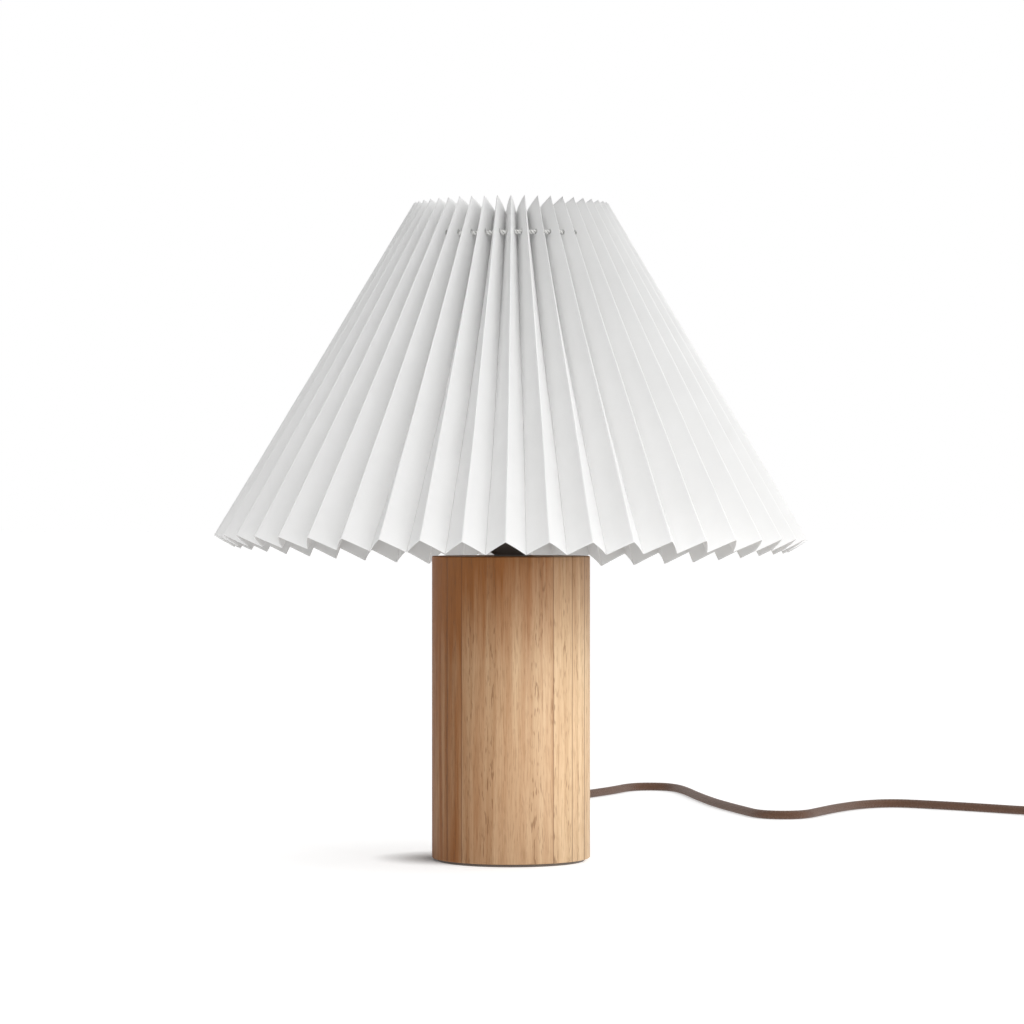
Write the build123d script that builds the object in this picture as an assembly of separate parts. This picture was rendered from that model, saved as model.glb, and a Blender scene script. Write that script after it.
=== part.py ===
from build123d import *
import math
import os

# Pleated paper table lamp: oak column, domed lampholder, paper shade on a wire carrier, textile cord.
# Millimetres. +Z is up, the origin is on the lamp's axis at the surface that it stands on,
# and the lamp's front faces -Y.

os.makedirs("parts", exist_ok=True)

# ---------------------------------------------------------------- driving dimensions

# Column
COLUMN_D = 80.0
COLUMN_H = 152.5
COLUMN_EDGE_R = 0.7
FELT_T = 1.5
FELT_INSET = 1.8
CHAMBER_D = 46.0
CHAMBER_H = 30.0

# Threaded tube and what clamps it
TUBE_D = 10.0
TUBE_WALL = 1.0
TUBE_BELOW_NUT = 2.0
WASHER_D = 26.0
WASHER_T = 1.5
NUT_FLATS_OVER_TUBE = 4.0
NUT_T = 3.0

# Lampholder
NECK_D = 17.0
NECK_H = 0.6
DOME_D = 40.0
DOME_H = 26.0
DOME_FLARE_INSET = 2.0
DOME_FLARE_RISE = 0.65
DOME_STEEPNESS = 2.0
DOME_FLOOR_H = 9.5
DOME_FLOOR_BEVEL = (2.0, 1.0)
DOME_FLARE_WALL = 2.1
DOME_WALL = 1.6
DOME_ROUND_R = 5.0
SLEEVE_D = 39.0
SLEEVE_H = 35.0
SLEEVE_CHAMFER = 0.8
SHOULDER_LEDGE = 3.0
SHOULDER_T = 2.5
SHOULDER_LIFT = 4.0
INSERT_H = 12.0
INSERT_IN_DOME = 8.0
INSERT_BOSS_H = 4.0
CAP_CLEARANCE = 0.25
SHELL_T = 0.5
SHELL_H = 24.0
SHELL_SEAT_WIDTH = 4.5
SHELL_CLEARANCE = 0.4
CONTACT_RISE = 2.8
CONTACT_WIDTH = 5.0
CONTACT_T = 0.6
CONTACT_FOOT_X = -8.0
CONTACT_TIP_X = 3.0
CONTACT_FLAT = 3.0
TERMINAL_SIZE = (8.0, 6.4, 7.0)
TERMINAL_ROOF_T = 1.0
TERMINAL_FROM_AXIS = 10.0
TERMINAL_SCREW_D = 3.0
SCREW_HEAD_OVER_D = 1.8
SCREW_HEAD_H = 1.8

# Shade carrier
FITTER_RIM = 2.5
FITTER_T = 1.5
CARRIER_WIRE_D = 3.0
HOOP_WIRE_D = 2.5
HOOP_SLANT = 20.0
CARRIER_ARMS = 3
ARM_BEND_R = 6.0

# Clamp ring
CLAMP_RING_WALL = 8.0
CLAMP_RING_H = 7.5
CLAMP_RING_GRIPS = 24
GRIP_R = 1.6
GRIP_OFFSET = 0.6
GRIP_FOOT_H = 1.5

# Shade: one strip of paper, folded, closed into a cone and gathered on a string
SHADE_TOP_D = 99.0
SHADE_TOP_OVER_COLUMN = 178.5
SHADE_HALF_ANGLE = 30.7
STRIP_WIDTH = 197.0
PLEATS = 46
FIRST_RIDGE_ANGLE = -90.0
PANEL_WIDTH = 15.3
MEAN_DEPTH_SHARE = 0.4
PAPER_T = 0.35
SECTIONS = (0.0, 60.0, STRIP_WIDTH)
STRING_SLANT = 17.0
STRING_D = 1.2
STRING_HOLE_PLAY = 0.6
STRING_DEPTH_SHARE = 0.5
KNOT_D = 2.6

# Bulb
BULB_D = 60.0
BULB_H = 105.0
BULB_GLASS_T = 0.8
BULB_CAP_D = 26.1
BULB_CAP_H = 20.5
BULB_THREAD_PITCH = 3.6
BULB_THREAD_DEPTH = 0.8
BULB_THREADS = 4
BULB_TIP_D = 9.5
BULB_TIP_H = 1.5
BULB_INSULATOR_H = 3.5
BULB_NECK_ANGLE = 35.0
BULB_NECK_IN_CAP = 1.2
STEM_D = 9.0
STEM_FOOT_H = 12.0
STEM_H = 34.0
STEM_ROD_D = 3.0
FILAMENTS = 4
FILAMENT_D = 1.8
FILAMENT_H = 36.0
FILAMENT_SPREAD = 9.0
FILAMENT_ARM_D = 0.8
FILAMENT_ARM_BITE = 0.4

# Cord
CORD_D = 5.0
CORD_EXIT_Z = 16.0
FLOOR_GAP = 0.1
RELIEF_LENGTH = 22.0
RELIEF_TIP_WALL = 0.8
RELIEF_ROOT_WALL = 2.5
RELIEF_FLANGE_WALL = 3.5
RELIEF_FLANGE_T = 2.0
RELIEF_SPIGOT_WALL = 1.4
RELIEF_SINK = 1.4
INNER_CORD_END_Y = 14.0
WIRE_D = 2.2
WIRE_OFFSET = 1.5
WIRE_OVER_FLOOR = 1.6
WIRE_SPLAY_RISE = 2.4
CLAMP_BLOCK = (18.0, 6.0)
CLAMP_BEHIND_JACKET = 1.0
CLAMP_UNDER_CORD = 1.5
CLAMP_SCREW_D = 3.0
CLAMP_SCREW_FROM_AXIS = 6.6
CLAMP_SCREW_BITE = 9.0

# Put-away coil of the cord
COIL_CENTRE = (350.0, 92.0)
COIL_OUTER_R = 32.0
COIL_GAP = 0.6
COIL_LAYER_TURNS = 2.0
COIL_CLIMB_TURNS = 0.5
COIL_START_ANGLE = 180.0
TIE_T = 0.8
TIE_WIDTH = 9.0
TIE_GAP = 0.3
TIE_ROUND_R = 2.0

# The short leads beside the coil: points chosen by hand, each from the end that it is near
LINK_FROM_SWITCH = [(0, -11, 0)]
LINK_TO_COIL = [(1.3, 33, 1.5), (0, 15, 0)]
TAIL_FROM_COIL = [(0, 12, 0), (-3, 28, -0.9)]
TAIL_TO_PLUG = [(2, -26, 0.3), (0, -12, 0)]

# Switch on the cord
SWITCH_SIZE = (62.0, 28.0)
SWITCH_LOWER_H = 8.0
SWITCH_UPPER_H = 9.0
SWITCH_WALL = 1.8
SWITCH_CORNER_R = 8.0
SWITCH_EDGE_R = 1.5
ROCKER_LENGTH = 19.4
ROCKER_WIDTH = 12.4
ROCKER_PIVOT_BELOW_TOP = 4.0
ROCKER_END_RISE = 5.4
ROCKER_MIDDLE_RISE = 4.6
ROCKER_KEEL = 2.4
ROCKER_KEEL_INSET = 2.5
ROCKER_RIM = 2.2
ROCKER_EDGE_R = 0.5
ROCKER_TILT = 8.0
ROCKER_PIN_D = 2.0
EAR_T = 1.5
EAR_WIDTH = 6.0
SWITCH_SCREW_D = 2.6
SWITCH_SCREW_INSET = (10.0, 7.0)
SWITCH_POST_D = 6.0
SWITCH_BLADE_WIDTH = 4.0
SWITCH_BLADE_ENDS = (4.0, 5.0)
SWITCH_FINGER_X = 7.0
SWITCH_FINGER_H = 4.0

# Plug
PLUG_BACK = (372.0, 165.0)
PLUG_AXIS_Z = 7.0
PLUG_NECK_LENGTH = 14.0
PLUG_NECK_OVER_CORD = (1.8, 4.2)
PLUG_GROOVES = 3
PLUG_GROOVE_START = 3.0
PLUG_GROOVE_PITCH = 4.0
PLUG_GROOVE_WIDTH = 1.2
PLUG_GROOVE_DEPTH = 0.5
PLUG_FLARE_LENGTH = 12.0
PLUG_BODY_LENGTH = 18.0
PLUG_WIDTH = 35.3
PLUG_THICKNESS = 13.7
PLUG_CORNER_R = 5.0
PLUG_BACK_SIZE = (16.0, 10.0)
PLUG_BACK_CORNER_R = 3.5
PLUG_NOSE_CHAMFER = 0.8
PIN_D = 4.0
PIN_SPACING = 18.6
PIN_LENGTH = 19.0
PIN_ROOT_LENGTH = 8.0
PIN_TIP_R = 0.9
PIN_SLEEVE_LENGTH = 10.0
PIN_SLEEVE_T = 0.4

# Fit clearances, on the radius or on each side
RUNNING = 0.05
THREAD = 0.1
LOOSE = 0.3
SOFT_SEAT = 0.3

# How far a cut runs past the face that it opens
PAST = 1.0

# The cord's route from the strain relief to the switch, chosen by hand: straight back out of the
# column, down to the floor, then the loose curves that the photograph shows.
FLOOR_LINE = FLOOR_GAP + CORD_D / 2
RELIEF_TIP_Y = COLUMN_D / 2 + RELIEF_LENGTH
LEAD_ROUTE = [
    (0, RELIEF_TIP_Y, CORD_EXIT_Z),
    (0, 82, CORD_EXIT_Z),
    (-2, 108, 9.5),
    (-6, 138, 3.6),
    (-12, 176, FLOOR_LINE),
    (-17, 222, FLOOR_LINE),
    (-13, 268, FLOOR_LINE),
    (2, 312, FLOOR_LINE),
    (24, 352, FLOOR_LINE),
    (46, 388, FLOOR_LINE),
    (64, 420, FLOOR_LINE),
    (74.5, 446, FLOOR_LINE),
    (88.5, 451.5, FLOOR_LINE),
    (102, 444.5, FLOOR_LINE),
    (108.5, 418, FLOOR_LINE),
    (113.5, 376, FLOOR_LINE),
    (121, 328, FLOOR_LINE),
    (129, 293, FLOOR_LINE),
    (135.5, 268, FLOOR_LINE),
    (142, 243.5, FLOOR_LINE),
    (154.6, 236.5, FLOOR_LINE),
    (168.5, 240.5, FLOOR_LINE),
    (179, 262, FLOOR_LINE),
    (191, 287, FLOOR_LINE),
    (208, 312, FLOOR_LINE),
    (228, 323, FLOOR_LINE),
    (250, 309, FLOOR_LINE),
    (276, 289, FLOOR_LINE),
    (302, 265, FLOOR_LINE),
    (317, 247, 4.6),
    (322, 231, 8.0),
    (322, 219, 8.0),
]

# ---------------------------------------------------------------- sizes that follow from them

TUBE_BORE_D = TUBE_D - 2 * TUBE_WALL
SHELL_BORE_D = BULB_CAP_D + 2 * CAP_CLEARANCE
SLEEVE_BORE_D = SHELL_BORE_D + 2 * SHELL_T + 2 * SHELL_CLEARANCE
SHOULDER_D = SLEEVE_D + 2 * SHOULDER_LEDGE
CLAMP_RING_D = SLEEVE_D + 2 * CLAMP_RING_WALL
FITTER_OUTER_D = CLAMP_RING_D + 2 * FITTER_RIM
RELIEF_SPIGOT_D = CORD_D + 2 * RELIEF_SPIGOT_WALL
RELIEF_FLANGE_D = CORD_D + 2 * RELIEF_FLANGE_WALL
COIL_PITCH = CORD_D + COIL_GAP

COLUMN_TOP = FELT_T + COLUMN_H
CHAMBER_TOP = FELT_T + CHAMBER_H
NUT_TOP = CHAMBER_TOP - WASHER_T
TUBE_LOW = NUT_TOP - NUT_T - TUBE_BELOW_NUT
DOME_FLOOR = COLUMN_TOP + DOME_FLOOR_H
DOME_TOP = COLUMN_TOP + DOME_H
SLEEVE_TOP = DOME_TOP + SLEEVE_H
SHOULDER_TOP = DOME_TOP + SHOULDER_LIFT + SHOULDER_T
FITTER_TOP = SHOULDER_TOP + FITTER_T
INSERT_LOW = DOME_TOP - INSERT_IN_DOME
INSERT_TOP = INSERT_LOW + INSERT_H
SEAT_TOP = INSERT_TOP + INSERT_BOSS_H
TERMINAL_TOP = INSERT_LOW + TERMINAL_SIZE[2]
BULB_LOW = SEAT_TOP + CONTACT_RISE + LOOSE
BULB_TOP = BULB_LOW + BULB_H

SHADE_TOP_Z = COLUMN_TOP + SHADE_TOP_OVER_COLUMN
SLANT = math.radians(SHADE_HALF_ANGLE)
OUTWARD, DOWNWARD = math.sin(SLANT), -math.cos(SLANT)

COIL_INNER_R = COIL_OUTER_R - COIL_PITCH * COIL_LAYER_TURNS
COIL_LOW_Z = FLOOR_GAP + TIE_T + TIE_GAP + CORD_D / 2
COIL_TURNS = 2 * COIL_LAYER_TURNS + COIL_CLIMB_TURNS

SWITCH_H = SWITCH_LOWER_H + SWITCH_UPPER_H
SWITCH_SCREW_X = SWITCH_SIZE[0] / 2 - SWITCH_SCREW_INSET[0]
SWITCH_SCREW_Y = SWITCH_SIZE[1] / 2 - SWITCH_SCREW_INSET[1]
SWITCH_SCREW_PLACES = ((-SWITCH_SCREW_X, SWITCH_SCREW_Y), (SWITCH_SCREW_X, -SWITCH_SCREW_Y))
PIVOT_Z = SWITCH_H - ROCKER_PIVOT_BELOW_TOP
SWITCH_X = LEAD_ROUTE[-1][0]
SWITCH_Y = LEAD_ROUTE[-1][1] - SWITCH_SIZE[0] / 2
SWITCH_PLACE = Pos(SWITCH_X, SWITCH_Y, 0) * Rot(0, 0, -90)
PLUG_PLACE = Pos(PLUG_BACK[0], PLUG_BACK[1], PLUG_AXIS_Z) * Rot(0, 0, 90)
PLUG_FRONT = PLUG_NECK_LENGTH + PLUG_FLARE_LENGTH
PLUG_NOSE = PLUG_FRONT + PLUG_BODY_LENGTH
PIN_CORE_D = PIN_D - 2 * PIN_SLEEVE_T

# ---------------------------------------------------------------- helpers

ON_BASE = (Align.CENTER, Align.CENTER, Align.MIN)


def disc(diameter, low, high, x=0.0, y=0.0):
    """Upright cylinder between two heights."""
    return Pos(x, y, low) * Cylinder(diameter / 2, high - low, align=ON_BASE)


def ring(outer, inner, low, high):
    """Upright tube between two heights, about the lamp's axis."""
    return disc(outer, low, high) - disc(inner, low - PAST, high + PAST)


def block(size, x=0.0, y=0.0, low=0.0):
    """Box centred on x and y, standing at a height."""
    return Pos(x, y, low) * Box(*size, align=ON_BASE)


def rod(diameter, start, length, way):
    """Round bar from a point, along a direction."""
    plane = Plane(origin=start, z_dir=way)
    return plane * Cylinder(diameter / 2, length, align=ON_BASE)


def turned(*outline):
    """Solid of revolution about the lamp's axis, from (radius, height) points."""
    return revolve(Plane.XZ * Polygon(*outline, align=None), Axis.Z)


def round_the_axis(shape, count):
    """Copies of a shape, evenly spaced about the lamp's axis."""
    return [Rot(0, 0, 360 / count * i) * shape for i in range(count)]


def section_tube(diameter, path):
    """Tube of a round section along a path."""
    return sweep(Plane(origin=path @ 0, z_dir=path % 0) * Circle(diameter / 2), path=path)


def steps_from(end, steps):
    """Points at the given steps from an end."""
    return [end + Vector(*step) for step in steps]


def bend_radii(points):
    """The largest arc that the two runs of each corner leave room for."""
    radii = []
    for before, corner, after in zip(points, points[1:], points[2:]):
        run_in, run_out = corner - before, after - corner
        turn = math.radians(run_in.get_angle(run_out))
        radii.append(0.45 * min(run_in.length, run_out.length) / math.tan(turn / 2))
    return radii


def routed_tube(name, diameter, route):
    """Tube of straight runs joined by tangent arcs."""
    points = [Vector(point) for point in route]
    radii = bend_radii(points)
    path = Wire(FilletPolyline(*points, radius=radii).edges())
    tube = section_tube(diameter, path)
    ideal = math.pi * diameter**2 / 4 * path.length
    print(f"{name}: length {path.length:.1f}, volume {tube.volume:.1f}, section x length {ideal:.1f}")
    print(f"{name}: radii " + " ".join(f"{radius:.0f}" for radius in radii))
    return tube


def write(name, *shapes):
    """One STEP file for a node, holding each of its solids."""
    solids = [solid for shape in shapes for solid in shape.solids()]
    export_step(solids[0] if len(solids) == 1 else Compound(children=solids), f"parts/{name}.step")


# ---------------------------------------------------------------- column


def wood_column():
    """Turned column with a chamber below, a bore for the tube and a hole for the cord."""
    column = disc(COLUMN_D, FELT_T, COLUMN_TOP)
    column = fillet(column.edges().filter_by(GeomType.CIRCLE), COLUMN_EDGE_R)
    column -= disc(CHAMBER_D, FELT_T - PAST, CHAMBER_TOP)
    column -= disc(TUBE_D + 2 * LOOSE, CHAMBER_TOP - PAST, COLUMN_TOP + PAST)
    column -= rod(RELIEF_SPIGOT_D + 2 * THREAD, (0, 0, CORD_EXIT_Z), COLUMN_D, (0, 1, 0))
    sunk = (0, COLUMN_D / 2 - RELIEF_SINK, CORD_EXIT_Z)
    column -= rod(RELIEF_FLANGE_D + 2 * THREAD, sunk, COLUMN_D, (0, 1, 0))
    hole = (CLAMP_SCREW_D + 2 * RUNNING, CHAMBER_TOP - PAST, CHAMBER_TOP + CLAMP_SCREW_BITE + LOOSE)
    for side in (-1, 1):
        column -= disc(*hole, side * CLAMP_SCREW_FROM_AXIS, clamp_y())
    return column


def felt_pad():
    """Round pad glued under the column."""
    return disc(COLUMN_D - 2 * FELT_INSET - 2 * COLUMN_EDGE_R, 0, FELT_T)


def threaded_tube():
    """Hollow tube that holds column and lampholder together and carries the wires."""
    return ring(TUBE_D, TUBE_BORE_D, TUBE_LOW, DOME_FLOOR - LOOSE)


def chamber_washer():
    """Washer under the chamber's ceiling."""
    return ring(WASHER_D, TUBE_D + 2 * LOOSE, NUT_TOP, CHAMBER_TOP)


def chamber_nut():
    """Hexagon nut on the tube's lower end."""
    corner_r = (TUBE_D + NUT_FLATS_OVER_TUBE) / math.sqrt(3)
    nut = extrude(Plane.XY.offset(NUT_TOP - NUT_T) * RegularPolygon(corner_r, 6), NUT_T)
    return nut - disc(TUBE_D + 2 * THREAD, TUBE_LOW, CHAMBER_TOP)


# ---------------------------------------------------------------- cord inside the column


def clamp_y():
    """Middle of the cord clamp, just behind the end of the cord's jacket."""
    return INNER_CORD_END_Y + CLAMP_BEHIND_JACKET + CLAMP_BLOCK[1] / 2


def clamp_low():
    """Height of the clamp's underside."""
    return CORD_EXIT_Z - CORD_D / 2 - CLAMP_UNDER_CORD


def strain_relief():
    """Tapered sleeve on the cord, its spigot through the column's wall, its flange sunk in it."""
    face_y = COLUMN_D / 2 - RELIEF_SINK
    root_y = face_y + RELIEF_FLANGE_T
    inner_y = CHAMBER_D / 2 + LOOSE
    outline = [
        (CORD_D / 2 + THREAD, inner_y),
        (RELIEF_SPIGOT_D / 2, inner_y),
        (RELIEF_SPIGOT_D / 2, face_y),
        (RELIEF_FLANGE_D / 2, face_y),
        (RELIEF_FLANGE_D / 2, root_y),
        (CORD_D / 2 + RELIEF_ROOT_WALL, root_y),
        (CORD_D / 2 + RELIEF_TIP_WALL, RELIEF_TIP_Y),
        (CORD_D / 2 + THREAD, RELIEF_TIP_Y),
    ]
    sleeve = revolve(Plane.XY * Polygon(*outline, align=None), Axis.Y)
    return Pos(0, 0, CORD_EXIT_Z) * sleeve


def inner_cord():
    """The cord's jacketed end, from the strain relief's tip to the clamp."""
    start = (0, INNER_CORD_END_Y, CORD_EXIT_Z)
    return rod(CORD_D, start, RELIEF_TIP_Y - INNER_CORD_END_Y, (0, 1, 0))


def cord_clamp():
    """Block that holds the cord under the chamber's ceiling."""
    body = block((*CLAMP_BLOCK, CHAMBER_TOP - clamp_low()), 0, clamp_y(), clamp_low())
    body -= rod(CORD_D + 2 * RUNNING, (0, 0, CORD_EXIT_Z), COLUMN_D, (0, 1, 0))
    hole = (CLAMP_SCREW_D + 2 * RUNNING, 0, CHAMBER_TOP + PAST)
    for side in (-1, 1):
        body -= disc(*hole, side * CLAMP_SCREW_FROM_AXIS, clamp_y())
    return body


def clamp_screws():
    """The clamp's two screws, heads below, points in the wood."""
    low = clamp_low()
    head = (CLAMP_SCREW_D + SCREW_HEAD_OVER_D, low - SCREW_HEAD_H, low)
    shank = (CLAMP_SCREW_D, low, CHAMBER_TOP + CLAMP_SCREW_BITE)
    return [
        disc(*head, side * CLAMP_SCREW_FROM_AXIS, clamp_y())
        + disc(*shank, side * CLAMP_SCREW_FROM_AXIS, clamp_y())
        for side in (-1, 1)
    ]


def inner_wires():
    """Two insulated wires from the cord's end, up the tube, to the terminals."""
    end_x = TERMINAL_FROM_AXIS - TERMINAL_SIZE[0] / 4
    splay_z = DOME_FLOOR + WIRE_D / 2 + WIRE_OVER_FLOOR
    route = [
        (WIRE_OFFSET, INNER_CORD_END_Y, CORD_EXIT_Z),
        (WIRE_OFFSET, 0, CORD_EXIT_Z),
        (WIRE_OFFSET, 0, splay_z),
        (end_x, 0, splay_z + WIRE_SPLAY_RISE),
        (end_x, 0, INSERT_LOW),
    ]
    wire = routed_tube("inner_wire", WIRE_D, route)
    return [wire, mirror(wire, about=Plane.YZ)]


# ---------------------------------------------------------------- lampholder


def holder_dome():
    """Domed lower half of the lampholder, its neck standing on the column."""
    outer_r, neck_r, bore_r = DOME_D / 2, NECK_D / 2, TUBE_D / 2 + THREAD
    inner_r = outer_r - DOME_WALL
    neck_z = COLUMN_TOP + NECK_H
    flare_r = outer_r - DOME_FLARE_INSET
    flare_z = neck_z + DOME_FLARE_RISE * (flare_r - neck_r)
    side_z = flare_z + DOME_STEEPNESS * DOME_FLARE_INSET
    bevel_z = DOME_FLOOR + DOME_FLOOR_BEVEL[1]
    bevel_r = outer_r - DOME_WALL - DOME_FLARE_WALL
    dome = turned(
        (bore_r, COLUMN_TOP),
        (neck_r, COLUMN_TOP),
        (neck_r, neck_z),
        (flare_r, flare_z),
        (outer_r, side_z),
        (outer_r, DOME_TOP),
        (inner_r, DOME_TOP),
        (inner_r, side_z),
        (bevel_r, bevel_z),
        (bevel_r - DOME_FLOOR_BEVEL[0], DOME_FLOOR),
        (bore_r, DOME_FLOOR),
    )
    shoulder = dome.edges().filter_by(GeomType.CIRCLE).filter_by(
        lambda edge: abs(edge.radius - flare_r) < 0.01 and abs(edge.center().Z - flare_z) < 0.01
    )
    return fillet(shoulder, DOME_ROUND_R)


def holder_sleeve():
    """Upper half: a threaded sleeve with the shoulder that the shade carrier rests on."""
    sleeve = disc(DOME_D, DOME_TOP, SHOULDER_TOP)
    sleeve += disc(SHOULDER_D, DOME_TOP + SHOULDER_LIFT, SHOULDER_TOP)
    sleeve += disc(SLEEVE_D, SHOULDER_TOP - SHOULDER_T, SLEEVE_TOP)
    sleeve -= disc(DOME_D - 2 * DOME_WALL, DOME_TOP - PAST, INSERT_TOP + LOOSE)
    sleeve -= disc(SLEEVE_BORE_D, DOME_TOP, SLEEVE_TOP + PAST)
    mouth = sleeve.edges().filter_by(GeomType.CIRCLE).group_by(Axis.Z)[-1]
    return chamfer(mouth, SLEEVE_CHAMFER)


def holder_insert():
    """Insulating insert between the halves, with pockets for the terminals."""
    body = disc(DOME_D - 2 * DOME_WALL - 2 * LOOSE, INSERT_LOW, INSERT_TOP)
    body += disc(SLEEVE_BORE_D - 2 * LOOSE, INSERT_LOW, SEAT_TOP)
    length, width, height = TERMINAL_SIZE
    for side in (-1, 1):
        pocket = (length + 2 * THREAD, width + 2 * THREAD, height + PAST)
        body -= block(pocket, side * TERMINAL_FROM_AXIS, 0, INSERT_LOW - PAST)
    return body


def terminals():
    """Two brass terminals, each with a hole for its screw."""
    screw_x = TERMINAL_FROM_AXIS + TERMINAL_SIZE[0] / 4
    blocks = []
    for side in (-1, 1):
        body = block(TERMINAL_SIZE, side * TERMINAL_FROM_AXIS, 0, INSERT_LOW)
        hole = (TERMINAL_SCREW_D + 2 * RUNNING, INSERT_LOW - PAST, TERMINAL_TOP - TERMINAL_ROOF_T)
        body -= disc(*hole, side * screw_x)
        blocks.append(body)
    return blocks


def terminal_screws():
    """The terminals' screws, heads below."""
    screw_x = TERMINAL_FROM_AXIS + TERMINAL_SIZE[0] / 4
    head = (TERMINAL_SCREW_D + SCREW_HEAD_OVER_D, INSERT_LOW - SCREW_HEAD_H, INSERT_LOW)
    shank = (TERMINAL_SCREW_D, INSERT_LOW, TERMINAL_TOP - TERMINAL_ROOF_T - LOOSE)
    return [disc(*head, side * screw_x) + disc(*shank, side * screw_x) for side in (-1, 1)]


def screw_shell():
    """Threaded metal shell that the bulb's cap screws into, with an open seat below."""
    outer = SHELL_BORE_D + 2 * SHELL_T
    shell = ring(outer, SHELL_BORE_D, SEAT_TOP, SEAT_TOP + SHELL_H)
    return shell + ring(outer, outer - 2 * SHELL_SEAT_WIDTH, SEAT_TOP, SEAT_TOP + SHELL_T)


def centre_contact():
    """Springy brass tongue under the bulb's tip."""
    foot_bend, tip_bend = CONTACT_FOOT_X + CONTACT_FLAT, CONTACT_TIP_X - CONTACT_FLAT
    outline = [
        (CONTACT_FOOT_X, 0),
        (CONTACT_FOOT_X, CONTACT_T),
        (foot_bend, CONTACT_T),
        (tip_bend, CONTACT_RISE),
        (CONTACT_TIP_X, CONTACT_RISE),
        (CONTACT_TIP_X, CONTACT_RISE - CONTACT_T),
        (tip_bend, CONTACT_RISE - CONTACT_T),
        (foot_bend, 0),
    ]
    tongue = extrude(Plane.XZ * Polygon(*outline, align=None), CONTACT_WIDTH / 2, both=True)
    return Pos(0, 0, SEAT_TOP) * tongue


# ---------------------------------------------------------------- shade


def fold_depth(along, fold, inward=0.0):
    """How deep a crease lies, square to the cone's slant.

    along is the distance down the slant from the top edge, fold counts creases round the
    cone (even ones are ridges, odd ones valleys) and inward is the depth into the paper.
    """
    mean_r = SHADE_TOP_D / 2 + along * OUTWARD - MEAN_DEPTH_SHARE * PANEL_WIDTH
    half_pitch = math.pi * mean_r / PLEATS
    valley = math.sqrt(PANEL_WIDTH**2 - half_pitch**2) if fold % 2 else 0.0
    return valley + inward * PANEL_WIDTH / half_pitch


def slant_place(along, depth):
    """Radius and height of a point on the shade, some way down its slant and some depth in."""
    radius = SHADE_TOP_D / 2 + along * OUTWARD + depth * DOWNWARD
    return radius, SHADE_TOP_Z + along * DOWNWARD - depth * OUTWARD


def fold_place(along, fold, inward=0.0):
    """A point of the folded strip, on a crease."""
    radius, height = slant_place(along, fold_depth(along, fold, inward))
    angle = math.radians(FIRST_RIDGE_ANGLE) + math.pi * fold / PLEATS
    return Vector(radius * math.cos(angle), radius * math.sin(angle), height)


def ruled(start, end, start_across, end_across):
    """Ruled face between two straight edges."""
    edges = Edge.make_line(start, end), Edge.make_line(start_across, end_across)
    return Face.make_surface_from_curves(*edges)


def paper_solid():
    """The pleated strip as one thin closed solid."""
    faces = []
    for fold in range(2 * PLEATS):
        for upper, lower in zip(SECTIONS, SECTIONS[1:]):
            for inward in (0.0, PAPER_T):
                corners = [
                    fold_place(upper, fold, inward),
                    fold_place(upper, fold + 1, inward),
                    fold_place(lower, fold, inward),
                    fold_place(lower, fold + 1, inward),
                ]
                faces.append(ruled(*corners))
        for along in (SECTIONS[0], SECTIONS[-1]):
            corners = [
                fold_place(along, fold),
                fold_place(along, fold + 1),
                fold_place(along, fold, PAPER_T),
                fold_place(along, fold + 1, PAPER_T),
            ]
            faces.append(ruled(*corners))
    return Solid(Shell(faces))


def string_ring():
    """Radius and height of the gather string, part of the way from ridge to valley."""
    return slant_place(STRING_SLANT, STRING_DEPTH_SHARE * fold_depth(STRING_SLANT, 1))


def shade_paper():
    """The pleated paper, with a punched hole in each panel for the string."""
    radius, height = string_ring()
    return paper_solid() - Pos(0, 0, height) * Torus(radius, STRING_D / 2 + STRING_HOLE_PLAY)


def gather_string():
    """String through the punched holes, tied at the back in the gap between two ridges."""
    radius, height = string_ring()
    back_gap = 2 * (PLEATS // 2) + 1
    string = Pos(0, 0, height) * Torus(radius, STRING_D / 2)
    knot = Pos(radius, 0, height) * Sphere(KNOT_D / 2)
    return string + Rot(0, 0, FIRST_RIDGE_ANGLE + 180 / PLEATS * back_gap) * knot


# ---------------------------------------------------------------- carrier and clamp ring


def hoop_ring():
    """Radius and height of the hoop that the inner folds of the paper sit on."""
    (high_r, high_z), (low_r, low_z) = (
        slant_place(along, fold_depth(along, 1, PAPER_T)) for along in SECTIONS[:2]
    )
    share = HOOP_SLANT / SECTIONS[1]
    radius = high_r + (low_r - high_r) * share
    height = high_z + (low_z - high_z) * share
    run = math.hypot(low_r - high_r, low_z - high_z)
    across = HOOP_WIRE_D / 2 + SOFT_SEAT
    inward, down = (high_z - low_z) / run, (low_r - high_r) / run
    return radius - across * inward, height - across * down


def carrier_fitter():
    """Flat ring that lies on the lampholder's shoulder."""
    return ring(FITTER_OUTER_D, SLEEVE_D + 2 * LOOSE, SHOULDER_TOP, FITTER_TOP)


def carrier_hoop():
    """Wire hoop at the top of the carrier."""
    radius, height = hoop_ring()
    return Pos(0, 0, height) * Torus(radius, HOOP_WIRE_D / 2)


def carrier_arms():
    """Bent wires from the fitter's rim up to the inside of the hoop."""
    radius, height = hoop_ring()
    rise_r = radius - (HOOP_WIRE_D + CARRIER_WIRE_D) / 2
    foot_r = CLAMP_RING_D / 2 + LOOSE
    foot_z = FITTER_TOP + CARRIER_WIRE_D / 2
    top_z = height + HOOP_WIRE_D / 2
    bend_r = min(ARM_BEND_R, 0.8 * (rise_r - foot_r))
    route = [(foot_r, 0, foot_z), (rise_r, 0, foot_z), (rise_r, 0, top_z)]
    path = Wire(FilletPolyline(*route, radius=bend_r).edges())
    return round_the_axis(section_tube(CARRIER_WIRE_D, path), CARRIER_ARMS)


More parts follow.
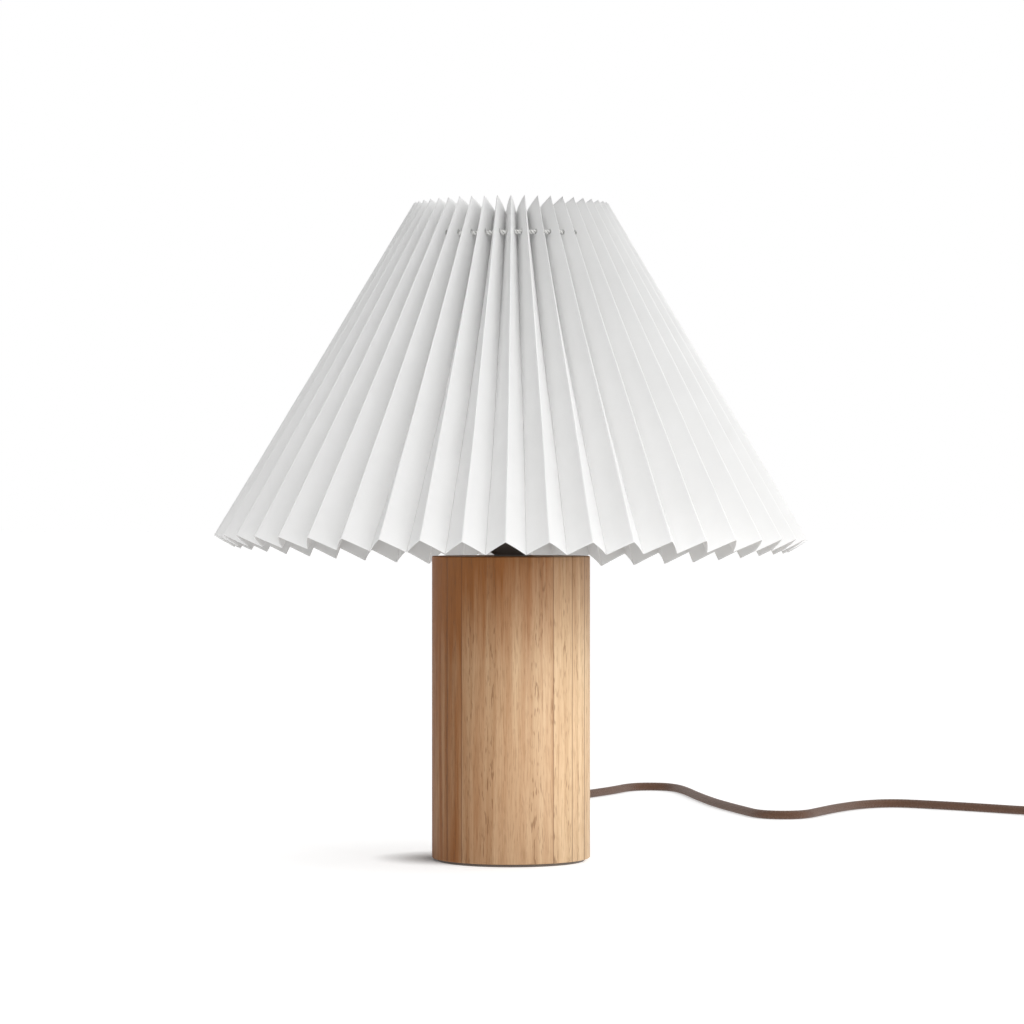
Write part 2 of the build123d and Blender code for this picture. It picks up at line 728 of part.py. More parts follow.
def clamp_ring():
    """Threaded ring that clamps the fitter on the shoulder, with grips round its edge."""
    top = FITTER_TOP + CLAMP_RING_H
    body = ring(CLAMP_RING_D, SLEEVE_D + 2 * THREAD, FITTER_TOP, top)
    groove = disc(2 * GRIP_R, FITTER_TOP + GRIP_FOOT_H, top + PAST, CLAMP_RING_D / 2 + GRIP_OFFSET)
    for cut in round_the_axis(groove, CLAMP_RING_GRIPS):
        body -= cut
    return body


# ---------------------------------------------------------------- bulb


def bulb_solid(inset):
    """The bulb's glass shape, drawn in by a wall."""
    radius = BULB_D / 2
    centre_z = BULB_TOP - radius
    neck_r, neck_z = BULB_CAP_D / 2 - BULB_NECK_IN_CAP - inset, BULB_LOW + BULB_CAP_H
    turn = math.radians(BULB_NECK_ANGLE)
    shell_r = radius - inset
    top = (0, centre_z + shell_r)
    side = (shell_r, centre_z)
    waist = (shell_r * math.cos(turn), centre_z - shell_r * math.sin(turn))
    leaning = (-math.sin(turn), -math.cos(turn))
    crown = ThreePointArc(top, (shell_r * math.sin(turn), centre_z + shell_r * math.cos(turn)), side)
    low_arc = RadiusArc(side, waist, shell_r)
    neck = TangentArc(waist, (neck_r, neck_z), tangent=leaning)
    foot = Polyline((neck_r, neck_z), (0, neck_z), top)
    outline = [edge for part in (crown, low_arc, neck, foot) for edge in part.edges()]
    return revolve(Plane.XZ * make_face(outline), Axis.Z)


def bulb_glass():
    """Glass envelope, closed below by the cap."""
    neck_z = BULB_LOW + BULB_CAP_H
    stem_hole = disc(STEM_D + 2 * LOOSE, neck_z - PAST, neck_z + PAST)
    return bulb_solid(0.0) - bulb_solid(BULB_GLASS_T) - stem_hole


def bulb_cap():
    """Metal cap with rounded thread ridges."""
    low = BULB_LOW + BULB_TIP_H + BULB_INSULATOR_H
    top = BULB_LOW + BULB_CAP_H
    core_d = BULB_CAP_D - 2 * BULB_THREAD_DEPTH
    cap = disc(core_d, low, top)
    first = low + (top - low - BULB_THREAD_PITCH * (BULB_THREADS - 1)) / 2
    for i in range(BULB_THREADS):
        z = first + i * BULB_THREAD_PITCH
        cap += Pos(0, 0, z) * Torus(core_d / 2, BULB_THREAD_DEPTH)
    return cap


def bulb_insulator():
    """Dark insulator under the cap, narrowing to the tip."""
    low = BULB_LOW + BULB_TIP_H
    high = low + BULB_INSULATOR_H
    wide = BULB_CAP_D / 2 - 2 * BULB_THREAD_DEPTH
    return turned((0, low), (BULB_TIP_D / 2 + BULB_THREAD_DEPTH, low), (wide, high), (0, high))


def bulb_tip():
    """End contact of the bulb."""
    return disc(BULB_TIP_D, BULB_LOW, BULB_LOW + BULB_TIP_H)


def bulb_stem():
    """Glass stem on the cap, which carries the filaments."""
    low = BULB_LOW + BULB_CAP_H
    rod_low = low + STEM_FOOT_H
    return disc(STEM_D, low, rod_low) + disc(STEM_ROD_D, rod_low, low + STEM_H + FILAMENT_H / 2)


def bulb_filaments():
    """Light-giving rods round the stem, on short carriers."""
    low = BULB_LOW + BULB_CAP_H + STEM_H - FILAMENT_H / 2
    stick = disc(FILAMENT_D, low, low + FILAMENT_H, FILAMENT_SPREAD)
    arm_length = FILAMENT_SPREAD - FILAMENT_D / 2 - STEM_ROD_D / 2 + FILAMENT_ARM_BITE
    arm = rod(FILAMENT_ARM_D, (STEM_ROD_D / 2, 0, low + FILAMENT_ARM_D), arm_length, (1, 0, 0))
    return round_the_axis(stick + arm, FILAMENTS)


# ---------------------------------------------------------------- coil and its tie


def coil_place(turns):
    """Centre of the cord after so many turns of the coil, and the way that it runs there."""
    angle = math.radians(COIL_START_ANGLE) + 2 * math.pi * turns
    climbed = turns - COIL_LAYER_TURNS
    radius, radius_rate = COIL_OUTER_R - COIL_PITCH * turns, -COIL_PITCH
    height, height_rate = COIL_LOW_Z, 0.0
    if climbed > COIL_CLIMB_TURNS:
        radius = COIL_INNER_R + COIL_PITCH * (climbed - COIL_CLIMB_TURNS)
        radius_rate = COIL_PITCH
        height = COIL_LOW_Z + COIL_PITCH
    elif climbed > 0:
        radius = COIL_INNER_R - COIL_PITCH * climbed * (1 - climbed / COIL_CLIMB_TURNS)
        radius_rate = -COIL_PITCH * (1 - 2 * climbed / COIL_CLIMB_TURNS)
        phase = math.pi * climbed / COIL_CLIMB_TURNS
        height = COIL_LOW_Z + COIL_PITCH * (1 - math.cos(phase)) / 2
        height_rate = COIL_PITCH * math.pi / COIL_CLIMB_TURNS * math.sin(phase) / 2
    outward = Vector(math.cos(angle), math.sin(angle), 0)
    forward = Vector(-math.sin(angle), math.cos(angle), 0)
    place = Vector(*COIL_CENTRE, height) + outward * radius
    way = outward * radius_rate + forward * (2 * math.pi * radius) + Vector(0, 0, height_rate)
    return place, way.normalized()


def biarc(start, start_way, end, end_way):
    """Two arcs between two points, tangent to the direction given at each."""
    gap, ways = end - start, start_way + end_way
    turn = 2 * (1 - start_way.dot(end_way))
    along = gap.dot(ways)
    reach = (math.sqrt(along**2 + turn * gap.dot(gap)) - along) / turn
    first_corner, last_corner = start + start_way * reach, end - end_way * reach
    middle = (first_corner + last_corner) * 0.5
    first = Edge.make_tangent_arc(start, start_way, middle)
    return [first, Edge.make_tangent_arc(middle, last_corner - first_corner, end)]


def coil_path():
    """The coil's centreline: in and out again in two layers, with a straight end at each side."""
    steps = [i / 4 for i in range(round(4 * COIL_TURNS) + 1)]
    places = [coil_place(turns) for turns in steps]
    places[0] = places[0][0], Vector(0, -1, 0)
    places[-1] = places[-1][0], Vector(0, 1, 0)
    (first, first_way), (last, last_way) = places[0], places[-1]
    edges = [Edge.make_line(first - first_way * CORD_D, first)]
    for (start, start_way), (end, end_way) in zip(places, places[1:]):
        edges += biarc(start, start_way, end, end_way)
    edges.append(Edge.make_line(last, last + last_way * CORD_D))
    return Wire(edges)


def least_gap(path, diameter):
    """The narrowest gap between turns of a tube, measured on points of its centreline."""
    count = round(path.length / 2)
    spacing = path.length / count
    skip = round(3 * diameter / spacing)
    points = [path @ (i / count) for i in range(count + 1)]
    pairs = (
        (here - there).length
        for i, here in enumerate(points)
        for there in points[i + skip:]
    )
    return min(pairs) - diameter


def cord_coil():
    """The put-away length of the cord as one unbroken tube."""
    path = coil_path()
    print(f"cord_coil: length {path.length:.1f}, least gap to itself {least_gap(path, CORD_D):.2f}")
    return section_tube(CORD_D, path)


def coil_tie():
    """Strap round the coil's turns, on the side away from the front."""
    places = [coil_place(turns)[0] for turns in (0.75, 1.75, 2.75, 3.75)]
    radii = [place.Y - COIL_CENTRE[1] for place in places]
    sag = COIL_INNER_R - math.sqrt(COIL_INNER_R**2 - (TIE_WIDTH / 2) ** 2)
    inner = min(radii) - CORD_D / 2 - TIE_GAP - sag
    outer = max(radii) + CORD_D / 2 + TIE_GAP
    size = (outer - inner, CORD_D + COIL_PITCH + 2 * TIE_GAP)
    centre = Plane(
        origin=(COIL_CENTRE[0], COIL_CENTRE[1] + (inner + outer) / 2, COIL_LOW_Z + COIL_PITCH / 2),
        x_dir=(0, 1, 0),
        z_dir=(1, 0, 0),
    )
    around = RectangleRounded(size[0] + 2 * TIE_T, size[1] + 2 * TIE_T, TIE_ROUND_R + TIE_T)
    strap = extrude(centre * (around - RectangleRounded(*size, TIE_ROUND_R)), TIE_WIDTH / 2, both=True)
    return strap


# ---------------------------------------------------------------- free leads


def cord_link():
    """Cord from the switch to the coil."""
    start = Vector(SWITCH_X, SWITCH_Y - SWITCH_SIZE[0] / 2, SWITCH_LOWER_H)
    end = coil_path() @ 0
    middle = steps_from(start, LINK_FROM_SWITCH) + steps_from(end, LINK_TO_COIL)
    return routed_tube("cord_link", CORD_D, [start, *middle, end])


def cord_tail():
    """Cord from the coil to the plug."""
    start = coil_path() @ 1
    end = Vector(*PLUG_BACK, PLUG_AXIS_Z)
    middle = steps_from(start, TAIL_FROM_COIL) + steps_from(end, TAIL_TO_PLUG)
    return routed_tube("cord_tail", CORD_D, [start, *middle, end])


# ---------------------------------------------------------------- switch


def switch_slab(inset, low, high):
    """Rounded slab of the switch's outline, drawn in by a wall."""
    length, width = SWITCH_SIZE
    outline = RectangleRounded(length - 2 * inset, width - 2 * inset, SWITCH_CORNER_R - inset)
    return extrude(Plane.XY.offset(low) * outline, high - low)


def switch_lower():
    """Lower shell: floor, walls and screw posts with sunk holes."""
    slab = switch_slab(0, 0, SWITCH_LOWER_H)
    shell = fillet(slab.faces().sort_by(Axis.Z)[0].edges(), SWITCH_EDGE_R)
    shell -= switch_slab(SWITCH_WALL, SWITCH_WALL, SWITCH_LOWER_H + PAST)
    hole_d = SWITCH_SCREW_D + 2 * RUNNING
    for x, y in SWITCH_SCREW_PLACES:
        shell += disc(SWITCH_POST_D, SWITCH_WALL / 2, SWITCH_LOWER_H, x, y)
        shell -= disc(hole_d, -PAST, SWITCH_LOWER_H + PAST, x, y)
        shell -= disc(hole_d + SCREW_HEAD_OVER_D, -PAST, SWITCH_WALL, x, y)
    return SWITCH_PLACE * shell


def rocker_reach():
    """How far a rocker's end swings along the switch."""
    tilt = math.radians(ROCKER_TILT)
    return ROCKER_LENGTH / 2 * math.cos(tilt) + ROCKER_END_RISE * math.sin(tilt)


def pin_half():
    """Half the length of the rocker's pin, which ends flush with the ears' outer faces."""
    return ROCKER_WIDTH / 2 + LOOSE + EAR_T


def switch_upper():
    """Upper shell: roof with the rocker's opening, ears for its pin, and screw posts."""
    slab = switch_slab(0, SWITCH_LOWER_H, SWITCH_H)
    shell = fillet(slab.faces().sort_by(Axis.Z)[-1].edges(), 2 * SWITCH_EDGE_R)
    ceiling, roof_middle = SWITCH_H - SWITCH_WALL, SWITCH_H - SWITCH_WALL / 2
    shell -= switch_slab(SWITCH_WALL, SWITCH_LOWER_H - PAST, ceiling)
    for x, y in SWITCH_SCREW_PLACES:
        shell += disc(SWITCH_POST_D, SWITCH_LOWER_H, roof_middle, x, y)
        shell -= disc(SWITCH_SCREW_D + 2 * RUNNING, SWITCH_LOWER_H - PAST, ceiling, x, y)
    ear_low = PIVOT_Z - ROCKER_PIN_D
    for side in (-1, 1):
        ear_y = side * (ROCKER_WIDTH / 2 + LOOSE + EAR_T / 2)
        shell += block((EAR_WIDTH, EAR_T, roof_middle - ear_low), 0, ear_y, ear_low)
    opening = (2 * (rocker_reach() + LOOSE), ROCKER_WIDTH + 2 * LOOSE, SWITCH_H)
    shell -= block(opening, 0, 0, SWITCH_LOWER_H - PAST)
    bore_half = pin_half() + PAST
    shell -= rod(ROCKER_PIN_D + 2 * RUNNING, (0, -bore_half, PIVOT_Z), 2 * bore_half, (0, 1, 0))
    return SWITCH_PLACE * shell


def switch_rocker():
    """Saddle-shaped rocker, resting tilted to one side on its pin."""
    end = ROCKER_LENGTH / 2
    keel_end = end - ROCKER_KEEL_INSET
    outline = [
        (-keel_end, -ROCKER_KEEL),
        (keel_end, -ROCKER_KEEL),
        (end, ROCKER_END_RISE - ROCKER_RIM),
        (end, ROCKER_END_RISE),
        (0, ROCKER_MIDDLE_RISE),
        (-end, ROCKER_END_RISE),
        (-end, ROCKER_END_RISE - ROCKER_RIM),
    ]
    body = extrude(Plane.XZ * Polygon(*outline, align=None), ROCKER_WIDTH / 2, both=True)
    body = fillet(body.faces().filter_by(Axis.Y).edges(), ROCKER_EDGE_R)
    body -= rod(ROCKER_PIN_D + 2 * RUNNING, (0, -ROCKER_WIDTH, 0), 2 * ROCKER_WIDTH, (0, 1, 0))
    return SWITCH_PLACE * Pos(0, 0, PIVOT_Z) * Rot(0, ROCKER_TILT, 0) * body


def rocker_pin():
    """Pin that the rocker turns on, held in the upper shell's ears."""
    return SWITCH_PLACE * rod(ROCKER_PIN_D, (0, -pin_half(), PIVOT_Z), 2 * pin_half(), (0, 1, 0))


def switch_contacts():
    """Two brass strips on the lower shell's floor, with a raised contact at the rocker's end."""
    near, far = SWITCH_BLADE_ENDS[0], SWITCH_SIZE[0] / 2 - SWITCH_BLADE_ENDS[1]
    foot_size = (far - near, SWITCH_BLADE_WIDTH, CONTACT_T)
    finger_size = (CONTACT_T, SWITCH_BLADE_WIDTH, SWITCH_FINGER_H)
    strips = []
    for side in (-1, 1):
        foot = block(foot_size, side * (near + far) / 2, 0, SWITCH_WALL)
        finger = block(finger_size, side * SWITCH_FINGER_X, 0, SWITCH_WALL)
        strips.append(SWITCH_PLACE * (foot + finger))
    return strips


def switch_screws():
    """Screws from below, through the lower shell's posts into the upper shell's."""
    head = (SWITCH_SCREW_D + SCREW_HEAD_OVER_D, FLOOR_GAP, SWITCH_WALL)
    shank = (SWITCH_SCREW_D, SWITCH_WALL, SWITCH_H - SWITCH_WALL - LOOSE)
    return [SWITCH_PLACE * (disc(*head, x, y) + disc(*shank, x, y)) for x, y in SWITCH_SCREW_PLACES]


# ---------------------------------------------------------------- plug


def plug_outline(along, size, corner):
    """Rounded section of the plug across its length."""
    return Plane.YZ.offset(along) * RectangleRounded(*size, corner)


def plug_body():
    """Moulded plug: ribbed neck, flare and flat body."""
    start_r, end_r = ((CORD_D + over) / 2 for over in PLUG_NECK_OVER_CORD)
    full = (PLUG_WIDTH, PLUG_THICKNESS)
    neck = Plane.YZ * Cone(start_r, end_r, PLUG_NECK_LENGTH, align=ON_BASE)
    for i in range(PLUG_GROOVES):
        groove_x = PLUG_GROOVE_START + PLUG_GROOVE_PITCH * i
        core_r = start_r + (end_r - start_r) * groove_x / PLUG_NECK_LENGTH - PLUG_GROOVE_DEPTH
        groove = Cylinder(PLUG_WIDTH, PLUG_GROOVE_WIDTH, align=ON_BASE)
        groove -= Cylinder(core_r, PLUG_GROOVE_WIDTH, align=ON_BASE)
        neck -= Plane.YZ.offset(groove_x) * groove
    body = loft([
        plug_outline(PLUG_NECK_LENGTH, PLUG_BACK_SIZE, PLUG_BACK_CORNER_R),
        plug_outline(PLUG_FRONT, full, PLUG_CORNER_R),
    ])
    body += extrude(plug_outline(PLUG_FRONT, full, PLUG_CORNER_R), PLUG_BODY_LENGTH)
    body = chamfer(body.faces().sort_by(Axis.X)[-1].edges(), PLUG_NOSE_CHAMFER)
    for side in (-1, 1):
        socket = (PLUG_NOSE - PIN_ROOT_LENGTH, side * PIN_SPACING / 2, 0)
        body -= rod(PIN_CORE_D, socket, PIN_ROOT_LENGTH + PAST, (1, 0, 0))
    return PLUG_PLACE * (neck + body)


def plug_pins():
    """Two round pins, thinner in the body and under their sleeves, rounded at the tip."""
    core_length = PIN_ROOT_LENGTH + PIN_SLEEVE_LENGTH
    pins = []
    for side in (-1, 1):
        y = side * PIN_SPACING / 2
        tip_start = (PLUG_NOSE + PIN_SLEEVE_LENGTH, y, 0)
        pin = rod(PIN_D, tip_start, PIN_LENGTH - PIN_SLEEVE_LENGTH, (1, 0, 0))
        pin = fillet(pin.edges().filter_by(GeomType.CIRCLE).sort_by(Axis.X)[-1:], PIN_TIP_R)
        pin += rod(PIN_CORE_D, (PLUG_NOSE - PIN_ROOT_LENGTH, y, 0), core_length, (1, 0, 0))
        pins.append(PLUG_PLACE * pin)
    return pins


def pin_sleeves():
    """Insulating sleeves on the pins' inner half, flush with their tips."""
    sleeves = []
    for side in (-1, 1):
        start = (PLUG_NOSE, side * PIN_SPACING / 2, 0)
        outer = rod(PIN_D, start, PIN_SLEEVE_LENGTH, (1, 0, 0))
        inner = rod(PIN_CORE_D, start, PIN_SLEEVE_LENGTH, (1, 0, 0))
        sleeves.append(PLUG_PLACE * (outer - inner))
    return sleeves


# ---------------------------------------------------------------- build

write("wood_column", wood_column())
write("felt_pad", felt_pad())
write("threaded_tube", threaded_tube())
write("chamber_washer", chamber_washer())
write("chamber_nut", chamber_nut())
write("strain_relief", strain_relief())
write("inner_cord", inner_cord())
write("cord_clamp", cord_clamp())
write("clamp_screws", *clamp_screws())
write("inner_wires", *inner_wires())
write("holder_dome", holder_dome())
write("holder_sleeve", holder_sleeve())
write("holder_insert", holder_insert())
write("terminals", *terminals())
write("terminal_screws", *terminal_screws())
write("screw_shell", screw_shell())
write("centre_contact", centre_contact())
write("carrier_fitter", carrier_fitter())
write("carrier_arms", *carrier_arms())
write("carrier_hoop", carrier_hoop())
write("clamp_ring", clamp_ring())
write("shade_paper", shade_paper())
write("gather_string", gather_string())
write("bulb_glass", bulb_glass())
write("bulb_cap", bulb_cap())
write("bulb_insulator", bulb_insulator())
write("bulb_tip", bulb_tip())
write("bulb_stem", bulb_stem())
write("bulb_filaments", *bulb_filaments())
write("cord_lead", routed_tube("cord_lead", CORD_D, LEAD_ROUTE))
write("cord_link", cord_link())
write("cord_coil", cord_coil())
write("cord_tail", cord_tail())
write("coil_tie", coil_tie())
write("switch_lower", switch_lower())
write("switch_upper", switch_upper())
write("switch_rocker", switch_rocker())
write("rocker_pin", rocker_pin())
write("switch_contacts", *switch_contacts())
write("switch_screws", *switch_screws())
write("plug_body", plug_body())
write("plug_pins", *plug_pins())
write("pin_sleeves", *pin_sleeves())
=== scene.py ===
"""Looks of a pleated paper table lamp, dressed around its packed construction.

Lengths are in metres, in the lamp's own frame: +Z up, the front faces -Y, the origin is on the
lamp's axis at the surface that it stands on.
"""

import logging
import math
from collections.abc import Iterable, Sequence
from dataclasses import dataclass
from enum import Enum

import bmesh
import bpy
import numpy as np
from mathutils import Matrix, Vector


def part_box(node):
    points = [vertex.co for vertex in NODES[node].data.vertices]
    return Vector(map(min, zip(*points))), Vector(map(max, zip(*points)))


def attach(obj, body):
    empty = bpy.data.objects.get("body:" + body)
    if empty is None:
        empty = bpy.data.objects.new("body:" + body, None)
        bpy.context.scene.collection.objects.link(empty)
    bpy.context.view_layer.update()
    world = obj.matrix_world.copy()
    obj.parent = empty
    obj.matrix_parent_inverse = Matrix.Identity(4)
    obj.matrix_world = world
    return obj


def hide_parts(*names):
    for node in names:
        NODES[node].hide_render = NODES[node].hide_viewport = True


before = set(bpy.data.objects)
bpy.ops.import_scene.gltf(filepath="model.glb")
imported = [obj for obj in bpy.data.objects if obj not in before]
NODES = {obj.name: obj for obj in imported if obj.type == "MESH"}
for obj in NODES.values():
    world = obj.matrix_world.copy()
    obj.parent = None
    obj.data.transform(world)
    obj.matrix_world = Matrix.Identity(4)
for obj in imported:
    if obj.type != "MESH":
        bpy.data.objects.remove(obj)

LOG = logging.getLogger("lamp")
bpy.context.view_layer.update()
MM = 0.001
TURN = 2 * math.pi
SAME_POINT = 1e-6
SEED = 11
NOISE_RANGE = (0.3, 0.7)
WHITE = (1.0, 1.0, 1.0)

Colour = tuple[float, float, float]
Feeds = dict[str | int, object]
Socket = bpy.types.NodeSocket


def scaled(points: Iterable[Sequence[float]]) -> list[Vector]:
    """Points in millimetres as vectors in metres."""
    return [Vector(point) * MM for point in points]


def linked(name: str, data: bpy.types.ID) -> bpy.types.Object:
    """A new object of some data, linked to the scene.

    Args:
        name: the object's name.
        data: its mesh, curve, light or camera.

    Returns:
        The object, at the origin.
    """
    made = bpy.data.objects.new(name, data)
    bpy.context.scene.collection.objects.link(made)
    return made


# ------------------------------------------------------------------ node trees


def colour(value: Sequence[float] | Socket) -> tuple[float, ...] | Socket:
    """A colour with full alpha. A socket stays as it is."""
    return value if isinstance(value, Socket) else (*value, 1.0)


class Graph:
    """A node tree, with short calls that add and join its nodes."""

    def __init__(self, tree: bpy.types.NodeTree) -> None:
        """Start on an emptied tree.

        Args:
            tree: the tree to fill.
        """
        self.tree = tree
        self.tree.nodes.clear()

    def feed(self, node: bpy.types.Node, feeds: Feeds) -> None:
        """Set a node's inputs, or join other sockets to them.

        Args:
            node: the node.
            feeds: input names or numbers, each with a value or a socket.
        """
        for key, value in feeds.items():
            if isinstance(value, Socket):
                self.tree.links.new(value, node.inputs[key])
            else:
                node.inputs[key].default_value = value

    def add(self, kind: str, feeds: Feeds | None = None, **settings: object) -> bpy.types.Node:
        """Add a node.

        Args:
            kind: the node's type name.
            feeds: input names or numbers, each with a value or a socket.
            settings: the node's own properties.

        Returns:
            The new node.
        """
        node = self.tree.nodes.new(kind)
        for name, value in settings.items():
            setattr(node, name, value)
        self.feed(node, feeds or {})
        return node

    def math(self, operation: str, *values: object) -> Socket:
        """One step of arithmetic on sockets and numbers."""
        feeds = dict(enumerate(values))
        return self.add("ShaderNodeMath", feeds, operation=operation).outputs[0]

    def plus(self, first: object, second: object) -> Socket:
        """The sum of two values."""
        return self.math("ADD", first, second)

    def less(self, first: object, second: object) -> Socket:
        """The first value less the second."""
        return self.math("SUBTRACT", first, second)

    def times(self, first: object, second: object) -> Socket:
        """The product of two values."""
        return self.math("MULTIPLY", first, second)

    def over(self, first: object, second: object) -> Socket:
        """The first value divided by the second."""
        return self.math("DIVIDE", first, second)

    def vectors(self, operation: str, *values: object, by: object = 1.0) -> Socket:
        """One step of vector arithmetic.

        Args:
            operation: the step's name.
            values: its vectors, or sockets that hold them.
            by: the factor of a scaling step, which is the node's input 3.

        Returns:
            The new vector, or the number where the step gives a number.
        """
        feeds = {**dict(enumerate(values)), 3: by}
        node = self.add("ShaderNodeVectorMath", feeds, operation=operation)
        return node.outputs[1 if operation in ("DOT_PRODUCT", "DISTANCE") else 0]

    def parts(self, vector: Socket) -> tuple[Socket, Socket, Socket]:
        """A vector's three parts."""
        return tuple(self.add("ShaderNodeSeparateXYZ", {0: vector}).outputs)

    def vector(self, x: object = 0.0, y: object = 0.0, z: object = 0.0) -> Socket:
        """A vector of three parts."""
        return self.add("ShaderNodeCombineXYZ", {0: x, 1: y, 2: z}).outputs[0]

    def place(self) -> Socket:
        """The place on the piece, in the lamp's frame."""
        return self.add("ShaderNodeTexCoord").outputs["Object"]

    def normal(self) -> Socket:
        """The way that the surface faces."""
        return self.add("ShaderNodeNewGeometry").outputs["Normal"]

    def blend(self, share: object, first: object, second: object) -> Socket:
        """A colour between two colours, by a share that varies."""
        feeds = {0: share, 6: colour(first), 7: colour(second)}
        return self.add("ShaderNodeMix", feeds, data_type="RGBA").outputs[2]

    def ramp(
        self, value: Socket, low: float, high: float, to_low: float = 0.0, to_high: float = 1.0
    ) -> Socket:
        """A value moved from one range to another and kept inside it."""
        feeds = {0: value, 1: low, 2: high, 3: to_low, 4: to_high}
        return self.add("ShaderNodeMapRange", feeds).outputs[0]

    def spread(self, noise: Socket, low: float = 0.0, high: float = 1.0) -> Socket:
        """A noise's usual range spread over another range."""
        return self.ramp(noise, *NOISE_RANGE, low, high)

    def stretched(self, source: Socket, scale: Sequence[float]) -> Socket:
        """Coordinates stretched by a Mapping node."""
        return self.add("ShaderNodeMapping", {"Vector": source, "Scale": scale}).outputs[0]

    def noise(
        self, where: Socket, scale: object, detail: float = 2.0, roughness: float = 0.5,
        distortion: object = 0.0,
    ) -> Socket:
        """Soft noise at some coordinates.

        Args:
            where: the coordinates.
            scale: how fine it is.
            detail: how many finer layers it has.
            roughness: how strong they are.
            distortion: how far it is warped.

        Returns:
            The noise, from 0 to 1.
        """
        feeds = {
            "Vector": where, "Scale": scale, "Detail": detail, "Roughness": roughness,
            "Distortion": distortion,
        }
        return self.add("ShaderNodeTexNoise", feeds).outputs[0]

    def bump(self, height: Socket, distance: float, strength: float) -> Socket:
        """The normal, bumped by a height."""
        feeds = {"Height": height, "Distance": distance, "Strength": strength}
        return self.add("ShaderNodeBump", feeds).outputs[0]


class Effect(Enum):
    """Surface effects that several finishes share, each one shader group."""

    MOULD_GRAIN = "mould_grain"
    DUST = "settled_dust"
    INTERLACE = "interlaced_threads"
    FIBRES = "loose_fibres"


def fill_mould_grain(graph: Graph, given: bpy.types.Node) -> list[Socket]:
    """Fine pimpled skin of a moulded or sprayed piece, and a slow change of tone.

    Args:
        graph: the group's tree.
        given: the group's inputs.

    Returns:
        The height and the tone.
    """
    where = graph.place()
    return [graph.noise(where, given.outputs["Scale"]), graph.noise(where, 60.0, 3.0)]


def fill_dust(graph: Graph, given: bpy.types.Node) -> list[Socket]:
    """Thin dust on what faces up.

    Args:
        graph: the group's tree.
        given: the group's inputs.

    Returns:
        The dust's mask.
    """
    up = graph.parts(graph.normal())[2]
    patches = graph.ramp(graph.noise(graph.place(), 90.0, 4.0, 0.6), 0.35, 0.75)
    facing = graph.ramp(up, 0.2, 1.0)
    return [graph.times(graph.times(facing, patches), given.outputs["Amount"])]


def fill_interlace(graph: Graph, given: bpy.types.Node) -> list[Socket]:
    """Threads that cross over and under each other along a piece's own UV map.

    Args:
        graph: the group's tree.
        given: the group's inputs.

    Returns:
        The height, and a tone for each thread's crossing.
    """
    u, v, _ = graph.parts(graph.add("ShaderNodeUVMap", uv_map="UVMap").outputs[0])
    across = graph.times(u, given.outputs["Across"])
    along = graph.times(v, given.outputs["Along"])
    both, apart = graph.plus(across, along), graph.less(across, along)
    first = graph.math("SINE", graph.times(both, math.pi))
    second = graph.math("SINE", graph.times(apart, math.pi))
    over = graph.math("GREATER_THAN", graph.times(first, second), 0.0)
    under = graph.less(1.0, over)
    kept = graph.times(graph.math("ABSOLUTE", first), over)
    rest = graph.times(graph.math("ABSOLUTE", second), under)
    height = graph.math("POWER", graph.plus(kept, rest), 0.6)
    cells = graph.vector(graph.math("FLOOR", both), graph.math("FLOOR", apart))
    tone = graph.add("ShaderNodeTexWhiteNoise", {"Vector": cells}, noise_dimensions="2D")
    return [height, tone.outputs["Value"]]


def fill_fibres(graph: Graph, given: bpy.types.Node) -> list[Socket]:
    """Matted fibres, and the clouds of tone that they leave.

    Args:
        graph: the group's tree.
        given: the group's inputs.

    Returns:
        The height and the tone.
    """
    where = graph.place()
    scale, stretch = given.outputs["Scale"], given.outputs["Stretch"]
    return [graph.noise(where, scale, 5.0, 0.65, stretch), graph.noise(where, 45.0, 4.0, 0.6)]


EFFECT_FILLS = {
    Effect.MOULD_GRAIN: (fill_mould_grain, ["Scale"], ["Height", "Tone"]),
    Effect.DUST: (fill_dust, ["Amount"], ["Mask"]),
    Effect.INTERLACE: (fill_interlace, ["Across", "Along"], ["Height", "Tone"]),
    Effect.FIBRES: (fill_fibres, ["Scale", "Stretch"], ["Height", "Tone"]),
}


def effect_tree(effect: Effect) -> bpy.types.NodeTree:
    """The shader group of an effect, built the first time that it is asked for.

    Args:
        effect: which effect.

    Returns:
        The group, with named inputs and outputs.
    """
    if effect.value in bpy.data.node_groups:
        return bpy.data.node_groups[effect.value]
    tree = bpy.data.node_groups.new(effect.value, "ShaderNodeTree")
    fill, inputs, outputs = EFFECT_FILLS[effect]
    for side, names in (("INPUT", inputs), ("OUTPUT", outputs)):
        for name in names:
            tree.interface.new_socket(name, in_out=side, socket_type="NodeSocketFloat")
    graph = Graph(tree)
    given = graph.add("NodeGroupInput")
    graph.add("NodeGroupOutput", dict(zip(outputs, fill(graph, given))))
    return tree


# ------------------------------------------------------------------ finishes


@dataclass(frozen=True)
class Finish:
    """What every finish has: a name, its slot in the record and a principled shader."""

    name: str
    slot: str

    def material(self) -> bpy.types.Material:
        """The finish as a material, built the first time that it is asked for.

        Returns:
            The material.
        """
        if self.name in bpy.data.materials:
            return bpy.data.materials[self.name]
        made = bpy.data.materials.new(self.name)
        made.use_nodes = True
        graph = Graph(made.node_tree)
        shader = graph.add("ShaderNodeBsdfPrincipled", self.look(graph))
        graph.add("ShaderNodeOutputMaterial", {"Surface": shader.outputs[0]})
        return made

    def look(self, graph: Graph) -> Feeds:
        """What feeds the shader. Each finish has its own."""
        raise NotImplementedError

    @staticmethod
    def effect(graph: Graph, kind: Effect, **values: float) -> bpy.types.Node:
        """Place a shared effect in a material, with this finish's values."""
        return graph.add("ShaderNodeGroup", values, node_tree=effect_tree(kind))


